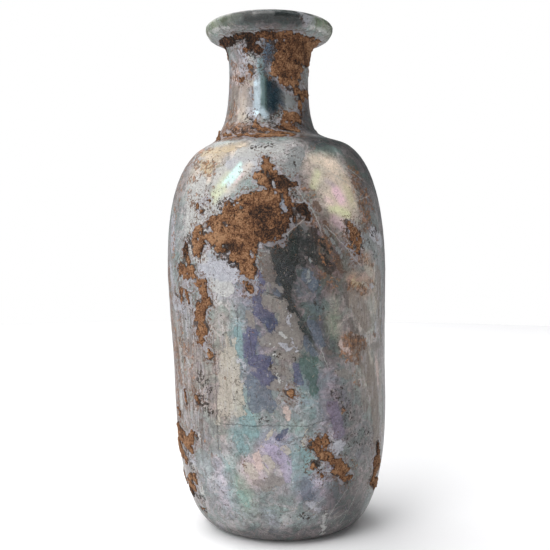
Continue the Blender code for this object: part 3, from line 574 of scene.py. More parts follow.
# Soft colours painted over the film, as in the washes: partly the film's and the rim's own colours, partly
# painted highlights and painted dark reflection, as noted below.
HIGHLIGHTS_AND_TINTS = [
    # A painted highlight: the white, pearl, green, aqua, pale blue and rose streak on the left of the
    # shoulder, where the big soft box above reflects. The gold along the shoulder's top is partly honey film
    # and partly painted highlight.
    (-34, 80, -16, 89.4, 2.4, "white", 0.6), (-24, 82.4, -14, 87.4, 1.2, "nacre", 0.5),
    (-34, 82, -26, 86, 0.9, "nacre_green", 0.4), (-28, 83.6, -19.5, 88.2, 0.5, "aqua", 0.75),
    (-25, 83.2, -18, 87, 0.35, "sky", 0.8), (-23, 84.8, -20, 86.4, 0.9, "aqua", 0.6),
    (-32, 80.6, -28, 82.8, 1.2, "nacre_green", 0.5), (-21, 83.8, -17, 86, 0.3, "nacre_pink", 0.6),
    (-46, 90.4, -34, 90.8, 1.4, "gold", 0.5), (-42, 92.6, -30, 93, 1.0, "brown", 0.25),
    (-46, 77.5, -42, 76, 1.3, "white", 0.5), (-15, 85.6, -11, 84.8, 1.1, "white", 0.4),
    (-23, 82.6, -19, 81.8, 1.0, "white", 0.45), (41, 80, 40, 77, 1.0, "taupe", 0.3),
    # The rim: its pale greens, and its dark middle, which is partly its own dark glass and partly painted
    # dark reflection. The thin silver line at about 120.7 mm along its lower edge is a painted highlight on
    # its rounding.
    (-80, 123.2, -26, 123.2, 1.0, "rim_green", 0.55), (-22, 123, 24, 122.8, 1.3, "slate", 0.75),
    (-12, 123.8, 14, 123.6, 0.5, "bottle", 0.5), (44, 122.8, 84, 122.4, 1.0, "rim_green", 0.55),
    (-26, 121.9, 28, 121.8, 0.8, "slate", 0.6), (-60, 120.7, 60, 120.6, 0.3, "silver", 0.7),
    (30, 123.4, 42, 122.6, 0.9, "silver", 0.5), (-13, 123.5, 4, 123.5, 0.3, "white", 0.75),
    (-36, 122.6, -26, 122.6, 1.0, "silver", 0.45), (-52, 124, -46, 121.8, 0.25, "lilac_white", 0.5),
    (-66, 124, -62, 121.8, 0.3, "white", 0.5), (54, 124, 58, 122, 0.3, "cream", 0.5),
    # The pearl, green and rose strokes on the right of the shoulder are the film's mother of pearl with a
    # painted highlight in it, the reflection of the small soft box high at the right.
    (-14, 90, 2, 91, 1.2, "white", 0.3), (31, 84, 36, 79, 3.6, "nacre", 0.5),
    (24, 89, 37, 87.4, 1.6, "nacre", 0.4), (20, 82.6, 23, 85.6, 1.1, "nacre_green", 0.6),
    (29, 77.4, 38, 76, 1.2, "nacre_green", 0.7), (32.6, 81.4, 35, 79.4, 1.3, "nacre_pink", 0.9),
    (26, 79.6, 29, 78.6, 0.8, "nacre_pink", 0.5), (29, 75, 33, 73.4, 1.1, "nacre_pink", 0.5),
    (40, 82, 43, 78, 1.0, "nacre_green", 0.35), (28, 83.6, 31, 83, 0.7, "lilac", 0.5),
    # The neck's clear window: a painted highlight in pale blue on its left, through mint and teal, into the
    # dark teal glass on its right.
    (-16, 108.6, -14.6, 101.2, 0.9, "sky", 0.95), (-11.6, 114, -11, 101, 0.6, "sky", 0.9),
    (-9, 113, -7.4, 101, 0.45, "mint", 0.85), (-7, 111.4, -5, 101, 0.45, "pale_teal", 0.85),
    (-3, 111, -2, 101, 0.4, "teal", 0.95), (0, 109.8, 1, 101.8, 0.5, "deep_teal", 0.9),
    (4, 109, 7, 102.4, 0.9, "deep_teal", 1.0), (9, 107.4, 14, 104.4, 1.0, "deep_teal", 0.95),
    (16, 106.4, 17, 105, 0.8, "deep_teal", 0.8), (18, 103.8, 20, 103.4, 0.6, "slate_blue", 0.8),
    (-9, 102, -2, 100.4, 0.8, "sky", 0.85), (0, 118.6, -3, 115, 1.1, "dusk", 0.9),
    (2, 116.4, 1, 114, 0.7, "slate_blue", 0.9), (-11, 114.4, -13, 111.6, 0.7, "pale_teal", 0.8),
    (-4, 114.4, -4, 111.4, 0.7, "slate_blue", 0.8), (24, 105.4, 42, 104.6, 1.4, "silver", 0.7),
    (-40, 108, -32, 102, 1.8, "nacre", 0.35), (-34, 104, -28, 101, 0.8, "white", 0.5),
    (-8, 20, 4, 17, 5.0, "nacre_pink", 0.12), (8, 22, 10, 16, 3.0, "aqua", 0.12),
    (-20, 16, -19, 8, 3.0, "nacre_green", 0.12),
]

# Thin dark lines: angle, height, angle, height. They are partly lines of broken film and partly painted shade
# along the film's broken edges; the three at about 120.6 mm, just under the rim, are a painted shadow under
# its overhang.
DARK_LINES = [
    (0.8, 70.5, 2.4, 65), (2.4, 65, 4.5, 60.2), (10.5, 73.6, 10.4, 69), (10.4, 69, 9, 64.8),
    (9, 64.8, 4.5, 60.2), (17.5, 74.4, 17.6, 70.6), (7.9, 56.4, 16.6, 48.9), (-34, 29.6, 0, 29.4),
    (0, 29.4, 12, 29), (12, 29, 26, 30.4), (-33.4, 50, -33.6, 23), (-19.5, 56, -20, 50), (-14, 50, -13, 45),
    (-40, 120.7, -16, 120.5), (-16, 120.5, 24, 120.6), (24, 120.6, 62, 121.2), (46, 122.8, 47, 121.8),
    (-76, 58, -75, 30), (-66, 46, -65, 30), (140, 50, 138, 20), (-120, 60, -124, 30),
]
PALE_LINES = [
    (13.4, 75, 0.8, 70.5), (24.5, 73.5, 38.5, 67), (38.5, 67, 44, 64.5), (11, 81.7, 18.5, 77),
    (18.5, 77, 22, 72), (30, 86, 50, 81), (40, 88, 58, 84), (44, 79, 60, 80.6), (24, 2.4, 30, 9.4),
    (30, 9.4, 37, 13), (38, 3.6, 46, 12), (33, 6, 40, 7.6), (14, 9, 22, 11.6), (20, 46.6, 24, 42),
    (56, 66, 60, 58), (-60, 30, -62, 22), (150, 30, 156, 10),
]

INSIDE, OUTSIDE, UNDERSIDE = 0, 1, 2

# How far from a stroke it no longer counts, in millimetres.
FAR = 6.0

# A turned mesh is spun for a part of its turn, and is then doubled this many times.
DOUBLINGS = 5


def smooth_step(value):
    """0 below 0, 1 above 1, and a smooth rise between them."""
    value = np.clip(value, 0.0, 1.0)
    return value * value * (3.0 - 2.0 * value)


def lattice_noise(points, seed):
    """Smooth noise from -1 to 1 that changes once a unit."""
    cell = np.floor(points).astype(np.int64)
    fade = smooth_step(points - cell)
    total = np.zeros(len(points))
    for corner in itertools.product((0, 1), repeat=3):
        at = cell + np.array(corner)
        mixed = at[:, 0] * 374761393 + at[:, 1] * 668265263 + at[:, 2] * 982451653 + seed * 144269504
        mixed = (mixed ^ (mixed >> 13)) * 1274126177
        value = ((mixed ^ (mixed >> 16)) & 0xFFFF) / 32767.5 - 1.0
        total += value * np.prod(np.where(np.array(corner) == 1, fade, 1.0 - fade), axis=1)
    return total


def arc_points(centre, width, height, start, end, steps, fullness=2.0):
    angle = np.radians(np.linspace(start, end, steps + 1))
    across = np.sign(np.cos(angle)) * np.abs(np.cos(angle)) ** (2.0 / fullness)
    up = np.sign(np.sin(angle)) * np.abs(np.sin(angle)) ** (2.0 / fullness)
    return np.stack([centre[0] + width * across, centre[1] + height * up], axis=1)


def bezier_points(start, start_handle, end_handle, end, steps):
    t = np.linspace(0.0, 1.0, steps + 1)[:, None]
    s = 1.0 - t
    return s**3 * start + 3 * s**2 * t * start_handle + 3 * s * t**2 * end_handle + t**3 * end


def evenly(line, spacing):
    """The line again, with points at an even spacing."""
    gone = np.concatenate([[0.0], np.cumsum(np.linalg.norm(np.diff(line, axis=0), axis=1))])
    at = np.linspace(0.0, gone[-1], max(2, int(round(gone[-1] / spacing)) + 1))
    return np.stack([np.interp(at, gone, line[:, 0]), np.interp(at, gone, line[:, 1])], axis=1)


def joined(*lines):
    """Lines end to end, each without the point that it shares with the one before."""
    return np.concatenate([lines[0]] + [line[1:] for line in lines[1:]])


class Section:
    """The vessel's section in millimetres, as (radius, height), from the driving sizes."""

    STEPS = 64

    def __init__(self, sizes):
        for name, kind in VesselSizes.__annotations__.items():
            unit = MM if kind.keywords.get("unit") == "LENGTH" else 1
            setattr(self, name, getattr(sizes, name) / unit)
        self.wall_top = self.heel_height + self.wall_height
        self.crown = self.wall_top + self.shoulder_height
        self.rim_underside = self.crown + self.neck_height
        self.top = self.rim_underside + self.rim_thickness
        self.waist = self.rim_underside - self.waist_drop
        self.bore_radius = self.neck_radius - self.neck_wall
        self.mouth_radius = self.bore_radius + self.mouth_flare
        self.rim_radius = self.mouth_radius + self.rim_width
        self.outside = self.outside_line()
        steps = np.linalg.norm(np.diff(self.outside, axis=0), axis=1)
        self.along = np.concatenate([[0.0], np.cumsum(steps)])
        slope = np.gradient(self.outside, self.along, axis=0)
        self.outward = np.stack([slope[:, 1], -slope[:, 0]], axis=1)
        self.outward /= np.linalg.norm(self.outward, axis=1)[:, None]

    def outside_line(self):
        """From the edge of the foot up to where the rim's top turns flat."""
        low_radius = self.body_radius - self.body_taper
        heel = arc_points(
            (self.foot_radius, self.heel_height), low_radius - self.foot_radius, self.heel_height,
            -90.0, 0.0, self.STEPS, self.heel_fullness,
        )
        crown_radius = self.neck_radius + self.crown_ledge
        shoulder = arc_points(
            (crown_radius, self.wall_top), self.body_radius - crown_radius, self.shoulder_height,
            0.0, self.shoulder_end, self.STEPS, self.shoulder_fullness,
        )
        direction = (shoulder[-1] - shoulder[-2]) / np.linalg.norm(shoulder[-1] - shoulder[-2])
        waist = np.array([self.neck_radius, self.waist])
        reach = shoulder[-1] - waist
        throat = bezier_points(
            shoulder[-1], shoulder[-1] + direction * reach[0] * self.throat_pull,
            waist + np.array([0.0, reach[1] * self.waist_pull]), waist, self.STEPS,
        )
        under = np.array([self.rim_radius - self.rim_rounding, self.rim_underside])
        collar = bezier_points(
            waist, waist + np.array([0.0, (under[1] - waist[1]) * self.collar_pull]),
            under - np.array([(under[0] - waist[0]) * self.collar_spread, self.collar_drop]),
            under, self.STEPS,
        )
        centre = (self.rim_radius - self.rim_rounding, self.top - self.rim_crown)
        under_crown = self.rim_thickness - self.rim_crown
        lower = arc_points(centre, self.rim_rounding, under_crown, -90.0, 0.0, self.STEPS)
        upper = arc_points(centre, self.rim_rounding, self.rim_crown, 0.0, 90.0, self.STEPS)
        wall = np.array([heel[-1], shoulder[0]])
        return joined(heel, wall, shoulder, throat, collar, lower, upper)

    def wall_at(self, height):
        base_share = 1.0 - smooth_step(height / self.heel_height)
        neck_share = smooth_step((height - self.wall_top) / (self.waist - self.wall_top))
        thicker_base = (self.base_wall - self.body_wall) * base_share
        return self.body_wall + thicker_base + (self.neck_wall - self.body_wall) * neck_share

    def inside_line(self):
        """From the middle of the floor up to the rounded lip of the mouth."""
        waist_along = np.interp(self.waist, self.outside[:, 1], self.along)
        below = (self.outside[:, 1] < self.waist) & (self.along < waist_along)
        wall = self.outside[below] - self.outward[below] * self.wall_at(self.outside[below, 1])[:, None]
        out = np.linspace(0.0, 1.0, self.STEPS)
        dome = self.base_wall + self.push_up_height * (1.0 - out**2) ** 2
        floor = np.stack([out * self.foot_radius, dome], axis=1)
        bore = np.array([self.bore_radius, self.waist])
        lip = arc_points(
            (self.mouth_radius + self.lip_rounding, self.top - self.lip_rounding),
            self.lip_rounding, self.lip_rounding, 180.0, 90.0, 8,
        )
        rise = np.array([0.0, (lip[0, 1] - self.waist) / 2.0])
        mouth = bezier_points(bore, bore + rise, lip[0] - rise, lip[0], self.STEPS)
        low = evenly(np.concatenate([floor, wall[1:], mouth]), self.inside_cell)
        return joined(low, lip)

    def underside_line(self):
        share_out = np.linspace(1.0, 0.0, 14)
        return np.stack([self.push_up_radius * share_out, self.push_up_height * (1.0 - share_out**2)], axis=1)

    def bend(self, points):
        """Moves points of the true turned shape to where the hand-made one has them, and centres them."""
        height = points[:, 2].copy()
        neck_set = smooth_step((height - self.crown + self.neck_set_start) / self.neck_set_height)
        slant = math.tan(math.radians(self.shoulder_tilt))
        tilt = slant * smooth_step(height / self.heel_height) * (1.0 - neck_set)
        drift = -self.body_lean * smooth_step(height / self.crown) - self.neck_shift * neck_set
        drift += self.neck_lean * np.clip((height - self.crown) / (self.top - self.crown), 0.0, 1.0)
        bent = points.copy()
        bent[:, 2] += points[:, 0] * tilt
        bent[:, 0] += drift - self.middle()
        return bent

    def middle(self):
        """Where the middle of the bent vessel's box would lie along X, if it weren't centred."""
        if not hasattr(self, "_middle"):
            self._middle = 0.0
            out, up = self.outside.T
            sides = [np.stack([side * out, 0.0 * up, up], axis=1) for side in (-1, 1)]
            across = np.concatenate([self.bend(side)[:, 0] for side in sides])
            self._middle = (across.min() + across.max()) / 2.0
        return self._middle


class Surface:
    """Places on the unbent vessel: the angle, the way along the section and the radius of each point."""

    def __init__(self, section, points):
        self.section = section
        self.points = points
        self.radius = np.hypot(points[:, 0], points[:, 1])
        self.angle = np.degrees(np.arctan2(points[:, 0], -points[:, 1]))
        rising = np.maximum.accumulate(section.outside[:, 1])
        self.heights = rising + np.arange(len(rising)) * 1e-9
        self.along = np.interp(points[:, 2], self.heights, section.along)

    def offsets(self, stroke):
        """The way from a stroke's middle line to each point, and the stroke's own run, in millimetres."""
        angle_a, height_a, angle_b, height_b = stroke[:4]
        along_a, along_b = np.interp([height_a, height_b], self.heights, self.section.along)
        across = np.radians((self.angle - angle_a + 180.0) % 360.0 - 180.0) * self.radius
        up = self.along - along_a
        run_across = math.radians(angle_b - angle_a) * self.radius
        run_up = along_b - along_a
        t = np.clip((across * run_across + up * run_up) / (run_across**2 + run_up**2 + 1e-9), 0.0, 1.0)
        return across - t * run_across, up - t * run_up, run_across, run_up

    def way_to(self, stroke):
        """How far each point lies from the middle line of a stroke."""
        across, up, _, _ = self.offsets(stroke)
        return np.hypot(across, up)

    def beside(self, lines):
        """How far each point lies beside the nearest line, negative on one side, and how near it is."""
        way = np.full(len(self.points), FAR)
        side = np.ones(len(self.points))
        for line in lines:
            across, up, run_across, run_up = self.offsets(line)
            here = np.hypot(across, up)
            nearer = here < way
            way[nearer] = here[nearer]
            side[nearer] = np.sign(across * run_up - up * run_across)[nearer]
        return way * side, 1.0 - smooth_step((way - 0.5) / 0.8)

    def inside_of(self, strokes):
        """How deep each point lies inside the strokes, in millimetres, and negative outside them."""
        depth = np.full(len(self.points), -FAR)
        for stroke in strokes:
            depth = np.maximum(depth, stroke[4] - self.way_to(stroke))
        return depth

    def layer_of(self, layer, colours):
        """A film layer's depth at each point, as inside_of gives it, and the colour of the nearest stroke."""
        depth = np.full(len(self.points), -FAR)
        colour = np.array(colours.silver)[None].repeat(len(self.points), axis=0)
        for name, strokes in layer.items():
            here = self.inside_of(strokes)
            nearer = here > depth
            depth[nearer] = here[nearer]
            colour[nearer] = getattr(colours, name)
        return depth, colour

    def amount_of(self, strokes, softness=1.0):
        """The strength of soft strokes, whose last value is their strength."""
        amount = np.zeros(len(self.points))
        for stroke in strokes:
            edge = max(stroke[4] * softness, 0.4)
            near = smooth_step(0.5 + (stroke[4] - self.way_to(stroke)) / edge)
            amount = np.maximum(amount, near * stroke[5])
        return amount

    def noise(self, size, seed):
        turned = self.points @ np.array(Euler((0.7 + seed, 1.9 * seed, 0.4)).to_matrix())
        return lattice_noise(turned / size, seed)

    def crust_depth(self):
        """How deep each point lies inside the crust, with its crumbled edge."""
        depth = self.inside_of(FRONT_CRUST + LOW_CRUST + NECK_CRUST + BACK_CRUST)
        small = self.noise(0.52, 5)
        broken = 0.7 * self.noise(2.3, 3) + 0.6 * self.noise(1.05, 4) + 0.6 * small
        broken += 0.42 * self.noise(0.3, 6)
        return np.minimum(depth + broken, 0.25 * small - self.inside_of(CRUST_GAPS))

    def washed(self, colours):
        """The film's broad colour at each point."""
        base = np.array(colours.silver)[None].repeat(len(self.points), axis=0)
        clouds = (("warm_grey", 9.0, 11), ("lilac_white", 7.0, 12), ("mint", 8.0, 13), ("taupe", 6.0, 14))
        for name, size, seed in clouds:
            near = smooth_step(self.noise(size, seed) * 1.6)[:, None] * 0.5
            base = base * (1.0 - near) + np.array(getattr(colours, name)) * near
        return self.painted(WASHES, base, colours)[0]

    def painted(self, strokes, base, colours):
        """Soft strokes painted one over the other on a base colour, and how much of it they hide."""
        bare = np.ones(len(self.points))
        for *place, name, strength in strokes:
            near = smooth_step(0.5 + (place[4] - self.way_to(place)) / (1.3 * place[4])) * strength
            base = base * (1.0 - near[:, None]) + np.array(getattr(colours, name)) * near[:, None]
            bare = bare * (1.0 - near)
        return base, 1.0 - bare


class Wire:
    """A node's output. Python's operators on it add the Math nodes."""

    def __init__(self, recipe, socket):
        self.recipe = recipe
        self.socket = socket

    def _math(self, operation, first, second, clamp=False):
        settings = {"operation": operation, "use_clamp": clamp}
        return self.recipe.add("Math", settings, {0: first, 1: second})

    def __add__(self, other):
        return self._math("ADD", self, other)

    def __radd__(self, other):
        return self._math("ADD", other, self)

    def __sub__(self, other):
        return self._math("SUBTRACT", self, other)

    def __rsub__(self, other):
        return self._math("SUBTRACT", other, self)

    def __mul__(self, other):
        return self._math("MULTIPLY", self, other)

    def __rmul__(self, other):
        return self._math("MULTIPLY", other, self)

    def __truediv__(self, other):
        return self._math("DIVIDE", self, other)

    def distance(self):
        return self._math("ABSOLUTE", self, 0.0)

    def clamped(self):
        return self._math("ADD", self, 0.0, clamp=True)

    def crisp(self, width):
        """0 below zero and 1 above it, with an edge of this width."""
        return (self / width + 0.5).clamped()


class Recipe:
    """The nodes of a new material or world."""

    def __init__(self, kinds, name):
        self.made = kinds.new(name)
        self.made.use_nodes = True
        self.tree = self.made.node_tree
        self.tree.nodes.clear()

    def add(self, kind, settings=None, inputs=None, output=0):
        """Adds a node, sets its settings, then its sockets, and gives one of its outputs, if it has any."""
        node = self.tree.nodes.new("ShaderNode" + kind)
        for key, value in (settings or {}).items():
            if key == "stops":
                self.set_stops(node.color_ramp, value)
            else:
                setattr(node, key, value)
        for key, value in (inputs or {}).items():
            socket = node.inputs[key]
            if isinstance(value, Wire):
                self.tree.links.new(value.socket, socket)
            else:
                socket.default_value = value
        return Wire(self, node.outputs[output]) if node.outputs else None

    @staticmethod
    def set_stops(ramp, stops):
        while len(ramp.elements) < len(stops):
            ramp.elements.new(0.5)
        for element, (place, colour) in zip(ramp.elements, stops):
            element.position = place
            element.color = (*colour, 1.0)

    def mix(self, factor, first, second, blend="MIX"):
        settings = {"data_type": "RGBA", "blend_type": blend}
        return self.add("Mix", settings, {0: factor, 6: solid(first), 7: solid(second)}, output=2)

    def scaled(self, colour, by):
        return self.add("VectorMath", {"operation": "SCALE"}, {0: colour, 3: by})

    def noise(self, where, size, detail=3.0, rough=0.55, twist=0.0, output=0):
        inputs = {"Vector": where, "Scale": 1.0 / size, "Detail": detail, "Roughness": rough}
        inputs["Distortion"] = twist
        return self.add("TexNoise", None, inputs, output)

    def flakes(self, where, size):
        """The middle of the ragged flake that each place lies in."""
        pull = self.scaled(self.noise(where, size * 0.8, 4.0, 0.6, 0.0, 1), size * 0.9)
        pulled = self.add("VectorMath", {"operation": "ADD"}, {0: where, 1: pull})
        return self.add("TexVoronoi", None, {"Vector": pulled, "Scale": 1.0 / size}, 2)

    def attribute(self, name, output=2):
        return self.add("Attribute", {"attribute_name": name}, None, output)

    def finish(self, kind, shader):
        self.add(kind, None, {"Surface": shader})
        return self.made


def solid(colour):
    """A colour as a socket takes it, with its alpha."""
    if isinstance(colour, Wire):
        return colour
    return (*tuple(colour)[:3], 1.0)


def millimetres(recipe, stretch=(1.0, 1.0, 1.0)):
    """The object's own coordinates in millimetres, squeezed along an axis where a pattern is drawn out."""
    where = recipe.add("TexCoord", output="Object")
    scale = tuple(step / MM for step in stretch)
    return recipe.add("Mapping", None, {"Vector": where, "Scale": scale})


def film_patterns(r):
    """The patterns that the film's steps share, from -0.5 to 0.5. The steps add what they lay to them."""
    p = SimpleNamespace(where=millimetres(r), drawn=millimetres(r, (1.0, 1.0, 0.12)))
    p.mid = r.noise(p.where, 2.4, 4.0) - 0.5
    p.small = r.noise(p.where, 0.7, 4.0, 0.6) - 0.5
    p.fine = r.noise(p.where, 0.24, 3.0, 0.6) - 0.5
    p.ragged = r.noise(p.where, 1.3, 5.0, 0.65, 0.6) - 0.5
    p.shard = r.noise(r.flakes(p.where, 1.5), 1.7, 3.0, 0.6) - 0.5
    p.splinter = r.noise(r.flakes(p.where, 0.6), 0.9, 3.0, 0.6) - 0.5
    p.streak = r.noise(p.drawn, 0.8, 4.0, 0.65) - 0.5
    p.grain = p.fine * 0.9 + p.small * 1.0 + p.splinter * 0.5
    p.streaked = r.attribute("streaked")
    return p


def broad_film(r, p, colours):
    """The film's broad colour with a faint sheen, and lighter and darker flakes in it."""
    sheen = r.add("ValToRGB", {"stops": [
        (0.30, colours.lilac), (0.40, colours.silver), (0.47, colours.pink),
        (0.54, colours.silver), (0.62, colours.mint), (0.72, colours.slate_blue),
    ]}, {"Fac": r.noise(p.where, 4.0, 3.0, 0.5, 0.8)})
    wash = r.mix(0.22, r.attribute("wash", 0), sheen)
    speckle = 1.0 + p.grain + p.streak * (0.4 + p.streaked) + p.mid * 0.9 + p.shard * 0.5
    colour = r.scaled(wash, speckle)
    p.lifted = (r.noise(p.where, 3.2, 6.0, 0.62, 1.0) + p.splinter * 0.12 - 0.53).crisp(0.015)
    colour = r.mix(p.lifted * 0.5, colour, r.scaled(colour, 1.5))
    p.worn = (r.noise(p.where, 1.5, 6.0, 0.65, 0.8) + p.splinter * 0.15 - 0.565).crisp(0.012)
    return r.mix(p.worn * 0.5, colour, r.scaled(r.mix(0.4, colour, colours.taupe), 0.5))


def film_layer(r, colour, name, wobble, strength, grain):
    """Lays a film layer over a colour, with a thin dark edge that is painted shade along the layer's rim.
    Gives the colour and the layer's amount.
    """
    field = r.attribute(name) + wobble
    amount = field.crisp(0.08)
    laid = r.mix(amount * strength, colour, r.scaled(r.attribute(name + "_colour", 0), 1.0 + grain))
    # The thin dark edge is painted shade, the fine shadow line of the flake's edge.
    line = (0.1 - (field + 0.08).distance()).crisp(0.08)
    return r.mix(line * 0.3, laid, r.scaled(laid, 0.45)), amount


def film_layers(r, p, colour):
    """The painted layers, each with its own raggedness, strength and grain."""
    thin = (r.noise(p.where, 2.0, 4.0, 0.6) * 1.8 - 0.25).clamped()
    low_edge = p.shard * 3.6 + p.ragged * 1.6 + p.splinter * 0.8
    middle_edge = p.shard * 3.4 + p.ragged * 1.4 + p.splinter * 1.2
    high_edge = p.shard * 2.4 + p.ragged * 2.6 + p.splinter * 1.4
    grain = p.grain
    colour, p.lower = film_layer(r, colour, "lower", low_edge, 0.5 + thin * 0.45, grain + p.mid * 1.4)
    colour, p.middle = film_layer(r, colour, "middle", middle_edge, 0.6 + thin * 0.35, grain + p.ragged * 0.8)
    colour, p.upper = film_layer(r, colour, "upper", high_edge, 0.6 + thin * 0.4, grain + p.mid * 0.6)
    return colour


def salt_and_highlight_tints(r, p, colour):
    salt = (r.noise(p.where, 0.5, 3.0, 0.6, 0.4) + p.shard * 0.2 + p.mid * 0.15 - 0.655).crisp(0.03)
    colour = r.mix(salt * 0.4, colour, r.scaled(colour, 1.9))
    # The soft layer over the film: painted highlights and painted dark reflection, with the film's and the
    # rim's own soft colours.
    p.lustre = (r.attribute("lustre") * (1.0 + p.ragged * 1.3 + p.small * 0.8)).clamped()
    shimmer = 1.0 + p.fine * 0.5 + p.mid * 0.5 + p.shard * 0.3
    return r.mix(p.lustre, colour, r.scaled(r.attribute("lustre_colour", 0), shimmer))


def chips_and_runs(r, p, colour, colours):
    """Pale chips, and white and brown runs down the wall."""
    p.chips = (r.noise(p.where, 0.75, 4.0, 0.6, 1.0) + p.mid * 0.25 - 0.655).crisp(0.02)
    chip_colour = r.scaled(tuple(colours.cream), 1.0 + p.fine * 0.6)
    colour = r.mix(p.chips * (0.55 - p.lustre * 0.4), colour, chip_colour)
    runs = r.noise(p.drawn, 0.8, 5.0, 0.7, 0.5) - 0.5
    p.white_runs = (runs + p.ragged * 0.4 - 0.07).crisp(0.05) * p.streaked
    colour = r.mix(p.white_runs * 0.75, colour, colours.lilac_white)
    brown_runs = (0.0 - runs + p.ragged * 0.5 - 0.07).crisp(0.05) * p.streaked
    run_colour = r.mix((p.small * 4.0 + 0.5).clamped(), colours.brown, colours.taupe)
    return r.mix(brown_runs * 0.75, colour, run_colour)


def earth_stains(r, p, colour, colours):
    p.soiled = r.attribute("stain")
    patchy = p.ragged * (1.0 - p.streaked * 0.7) + p.streak * p.streaked
    field = p.soiled * 1.2 + patchy * 4.0 + p.small * 2.4 + p.splinter * 1.6
    p.stain = (field - 0.86).crisp(0.22)
    stain_colour = r.add("ValToRGB", {"stops": [
        (0.30, colours.earth_dark), (0.46, colours.brown), (0.62, colours.rust), (0.75, colours.earth_light),
    ]}, {"Fac": r.noise(p.where, 0.9, 5.0, 0.7)})
    stained = p.stain * (p.soiled * 2.0 + 0.5).clamped()
    return r.mix(stained * 0.78, colour, r.scaled(stain_colour, 1.0 + p.grain))


def specks_and_crumbs(r, p, colour, colours):
    """Dots, crumbs near the crust, black specks, and the soot and dust along the crust's edge."""
    dotted = r.noise(p.where, 0.42, 2.0, 0.5, 0.3) + p.mid * 0.25 + p.ragged * 0.15
    dots = (dotted - 0.69).crisp(0.03) * (1.0 - p.lustre * 0.8)
    colour = r.mix(dots * 0.75, colour, colours.earth_dark)
    edge = r.attribute("crust")
    near = ((edge + 3.4) / 3.2).clamped()
    crumbled = r.noise(p.where, 0.55, 3.0, 0.6, 0.3)
    crumbs = (crumbled + near * 0.21 + p.soiled * 0.07 - 0.685).crisp(0.02)
    crumb_colour = r.mix(near * (p.fine * 3.0 + 0.6).clamped(), colours.earth_dark, colours.earth)
    colour = r.mix(crumbs * 0.8, colour, crumb_colour)
    pitted = r.noise(p.where, 0.62, 4.0, 0.62, 0.15)
    specks = (pitted + r.attribute("specks") * 0.22 + p.mid * 0.2 - 0.68).crisp(0.02)
    patch = r.noise(p.where, 3.2, 2.0) - 0.5
    sooty = 0.3 - (edge + 0.1).distance() + p.mid * 1.6 + p.small * 1.0 + patch * 3.0
    p.soot = (specks * 0.9 + (sooty - 0.25).crisp(0.12) * 0.85).clamped()
    soot_colour = r.mix((p.small * 3.0 + 0.35).clamped(), colours.soot, colours.earth_dark)
    colour = r.mix(p.soot, colour, soot_colour)
    dusty = 0.5 - (edge + 0.25).distance() + p.ragged * 2.0 - patch * 2.0
    dust = (dusty - 0.2).crisp(0.2) * (1.0 - p.soot)
    return r.mix(dust * 0.5, colour, colours.lilac_white)


def cracks_and_hairs(r, p, colour, colours):
    lines = r.noise(millimetres(r, (1.0, 1.0, 0.5)), 6.0, 2.0, 0.5, 1.6) - 0.5
    crack = (0.004 - lines.distance()).crisp(0.004) * (r.noise(p.where, 9.0) - 0.46).crisp(0.06)
    colour = r.mix(crack * 0.5, colour, colours.earth_dark)
    wavy = p.small * 0.9 + p.mid * 0.8
    # Dark lines: partly broken film, partly painted shade and, under the rim, a painted shadow. Pale lines:
    # scratches.
    for name, tint, width in (("dark_line", colours.soot, 0.1), ("pale_line", colours.white, 0.09)):
        line = (width - (r.attribute(name) + wavy).distance()).crisp(0.12) * r.attribute(name + "_near")
        colour = r.mix(line * (0.8 - p.ragged).clamped() * 0.75, colour, tint)
    hairs = r.noise(p.where, 7.0, 2.0, 0.5, 2.2) - 0.5
    scratch = (0.003 - hairs.distance()).crisp(0.003) * (r.noise(p.where, 8.0, 1.0) - 0.5).crisp(0.06)
    return r.mix(scratch * 0.4, colour, colours.white)


def film_shader(r, p, colour):
    rough = 0.36 - p.lustre * 0.14 + p.small * 0.35 + p.soot * 0.4 + p.stain * 0.3
    rough = rough + p.upper * 0.06 + p.middle * 0.14 - p.lower * 0.1
    height = p.upper * 0.05 + p.middle * 0.045 - p.lower * 0.03 + p.fine * 0.06 + p.small * 0.08
    height = height + p.soot * 0.03 + p.stain * 0.03 + p.splinter * 0.06 + p.lifted * 0.03 - p.worn * 0.03
    height = height + p.chips * 0.02 + p.white_runs * 0.02
    bump = r.add("Bump", None, {"Strength": 0.9, "Distance": MM, "Height": height})
    return r.add("BsdfPrincipled", None, {
        "Base Color": colour, "Roughness": rough, "Normal": bump, "IOR": 1.5, "Specular IOR Level": 0.35,
    })


def glass_shader(r, p, colours):
    ripple = r.add("Bump", None, {
        "Strength": 0.25, "Distance": MM, "Height": p.mid * 0.12 + p.fine * 0.01,
    })
    return r.add("BsdfPrincipled", None, {
        "Base Color": solid(colours.glass), "Roughness": 0.05, "Normal": ripple, "IOR": 1.52,
        "Transmission Weight": 1.0,
    })


def film_material(colours):
    """Weathered glass: film, flakes, stains and specks, painted highlights, dark reflection and shade lines,
    over glass that is clear where no film is left.
    """
    r = Recipe(bpy.data.materials, "weathered_glass")
    p = film_patterns(r)
    colour = film_layers(r, p, broad_film(r, p, colours))
    colour = chips_and_runs(r, p, salt_and_highlight_tints(r, p, colour), colours)
    for step in (earth_stains, specks_and_crumbs, cracks_and_hairs):
        colour = step(r, p, colour, colours)
    bare = 1.0 - p.soot
    clear = (r.attribute("clear") + p.ragged * 0.9 + p.small * 0.4).crisp(0.16) * bare
    thin = r.attribute("dim") + p.mid * 0.5 + p.small * 0.5 - p.stain * 0.6 - p.upper * 0.5
    through = (clear * 0.4 + thin.clamped() * bare * 0.7).clamped()
    shaders = {1: film_shader(r, p, colour), 2: glass_shader(r, p, colours)}
    return r.finish("OutputMaterial", r.add("MixShader", None, {0: through, **shaders}))


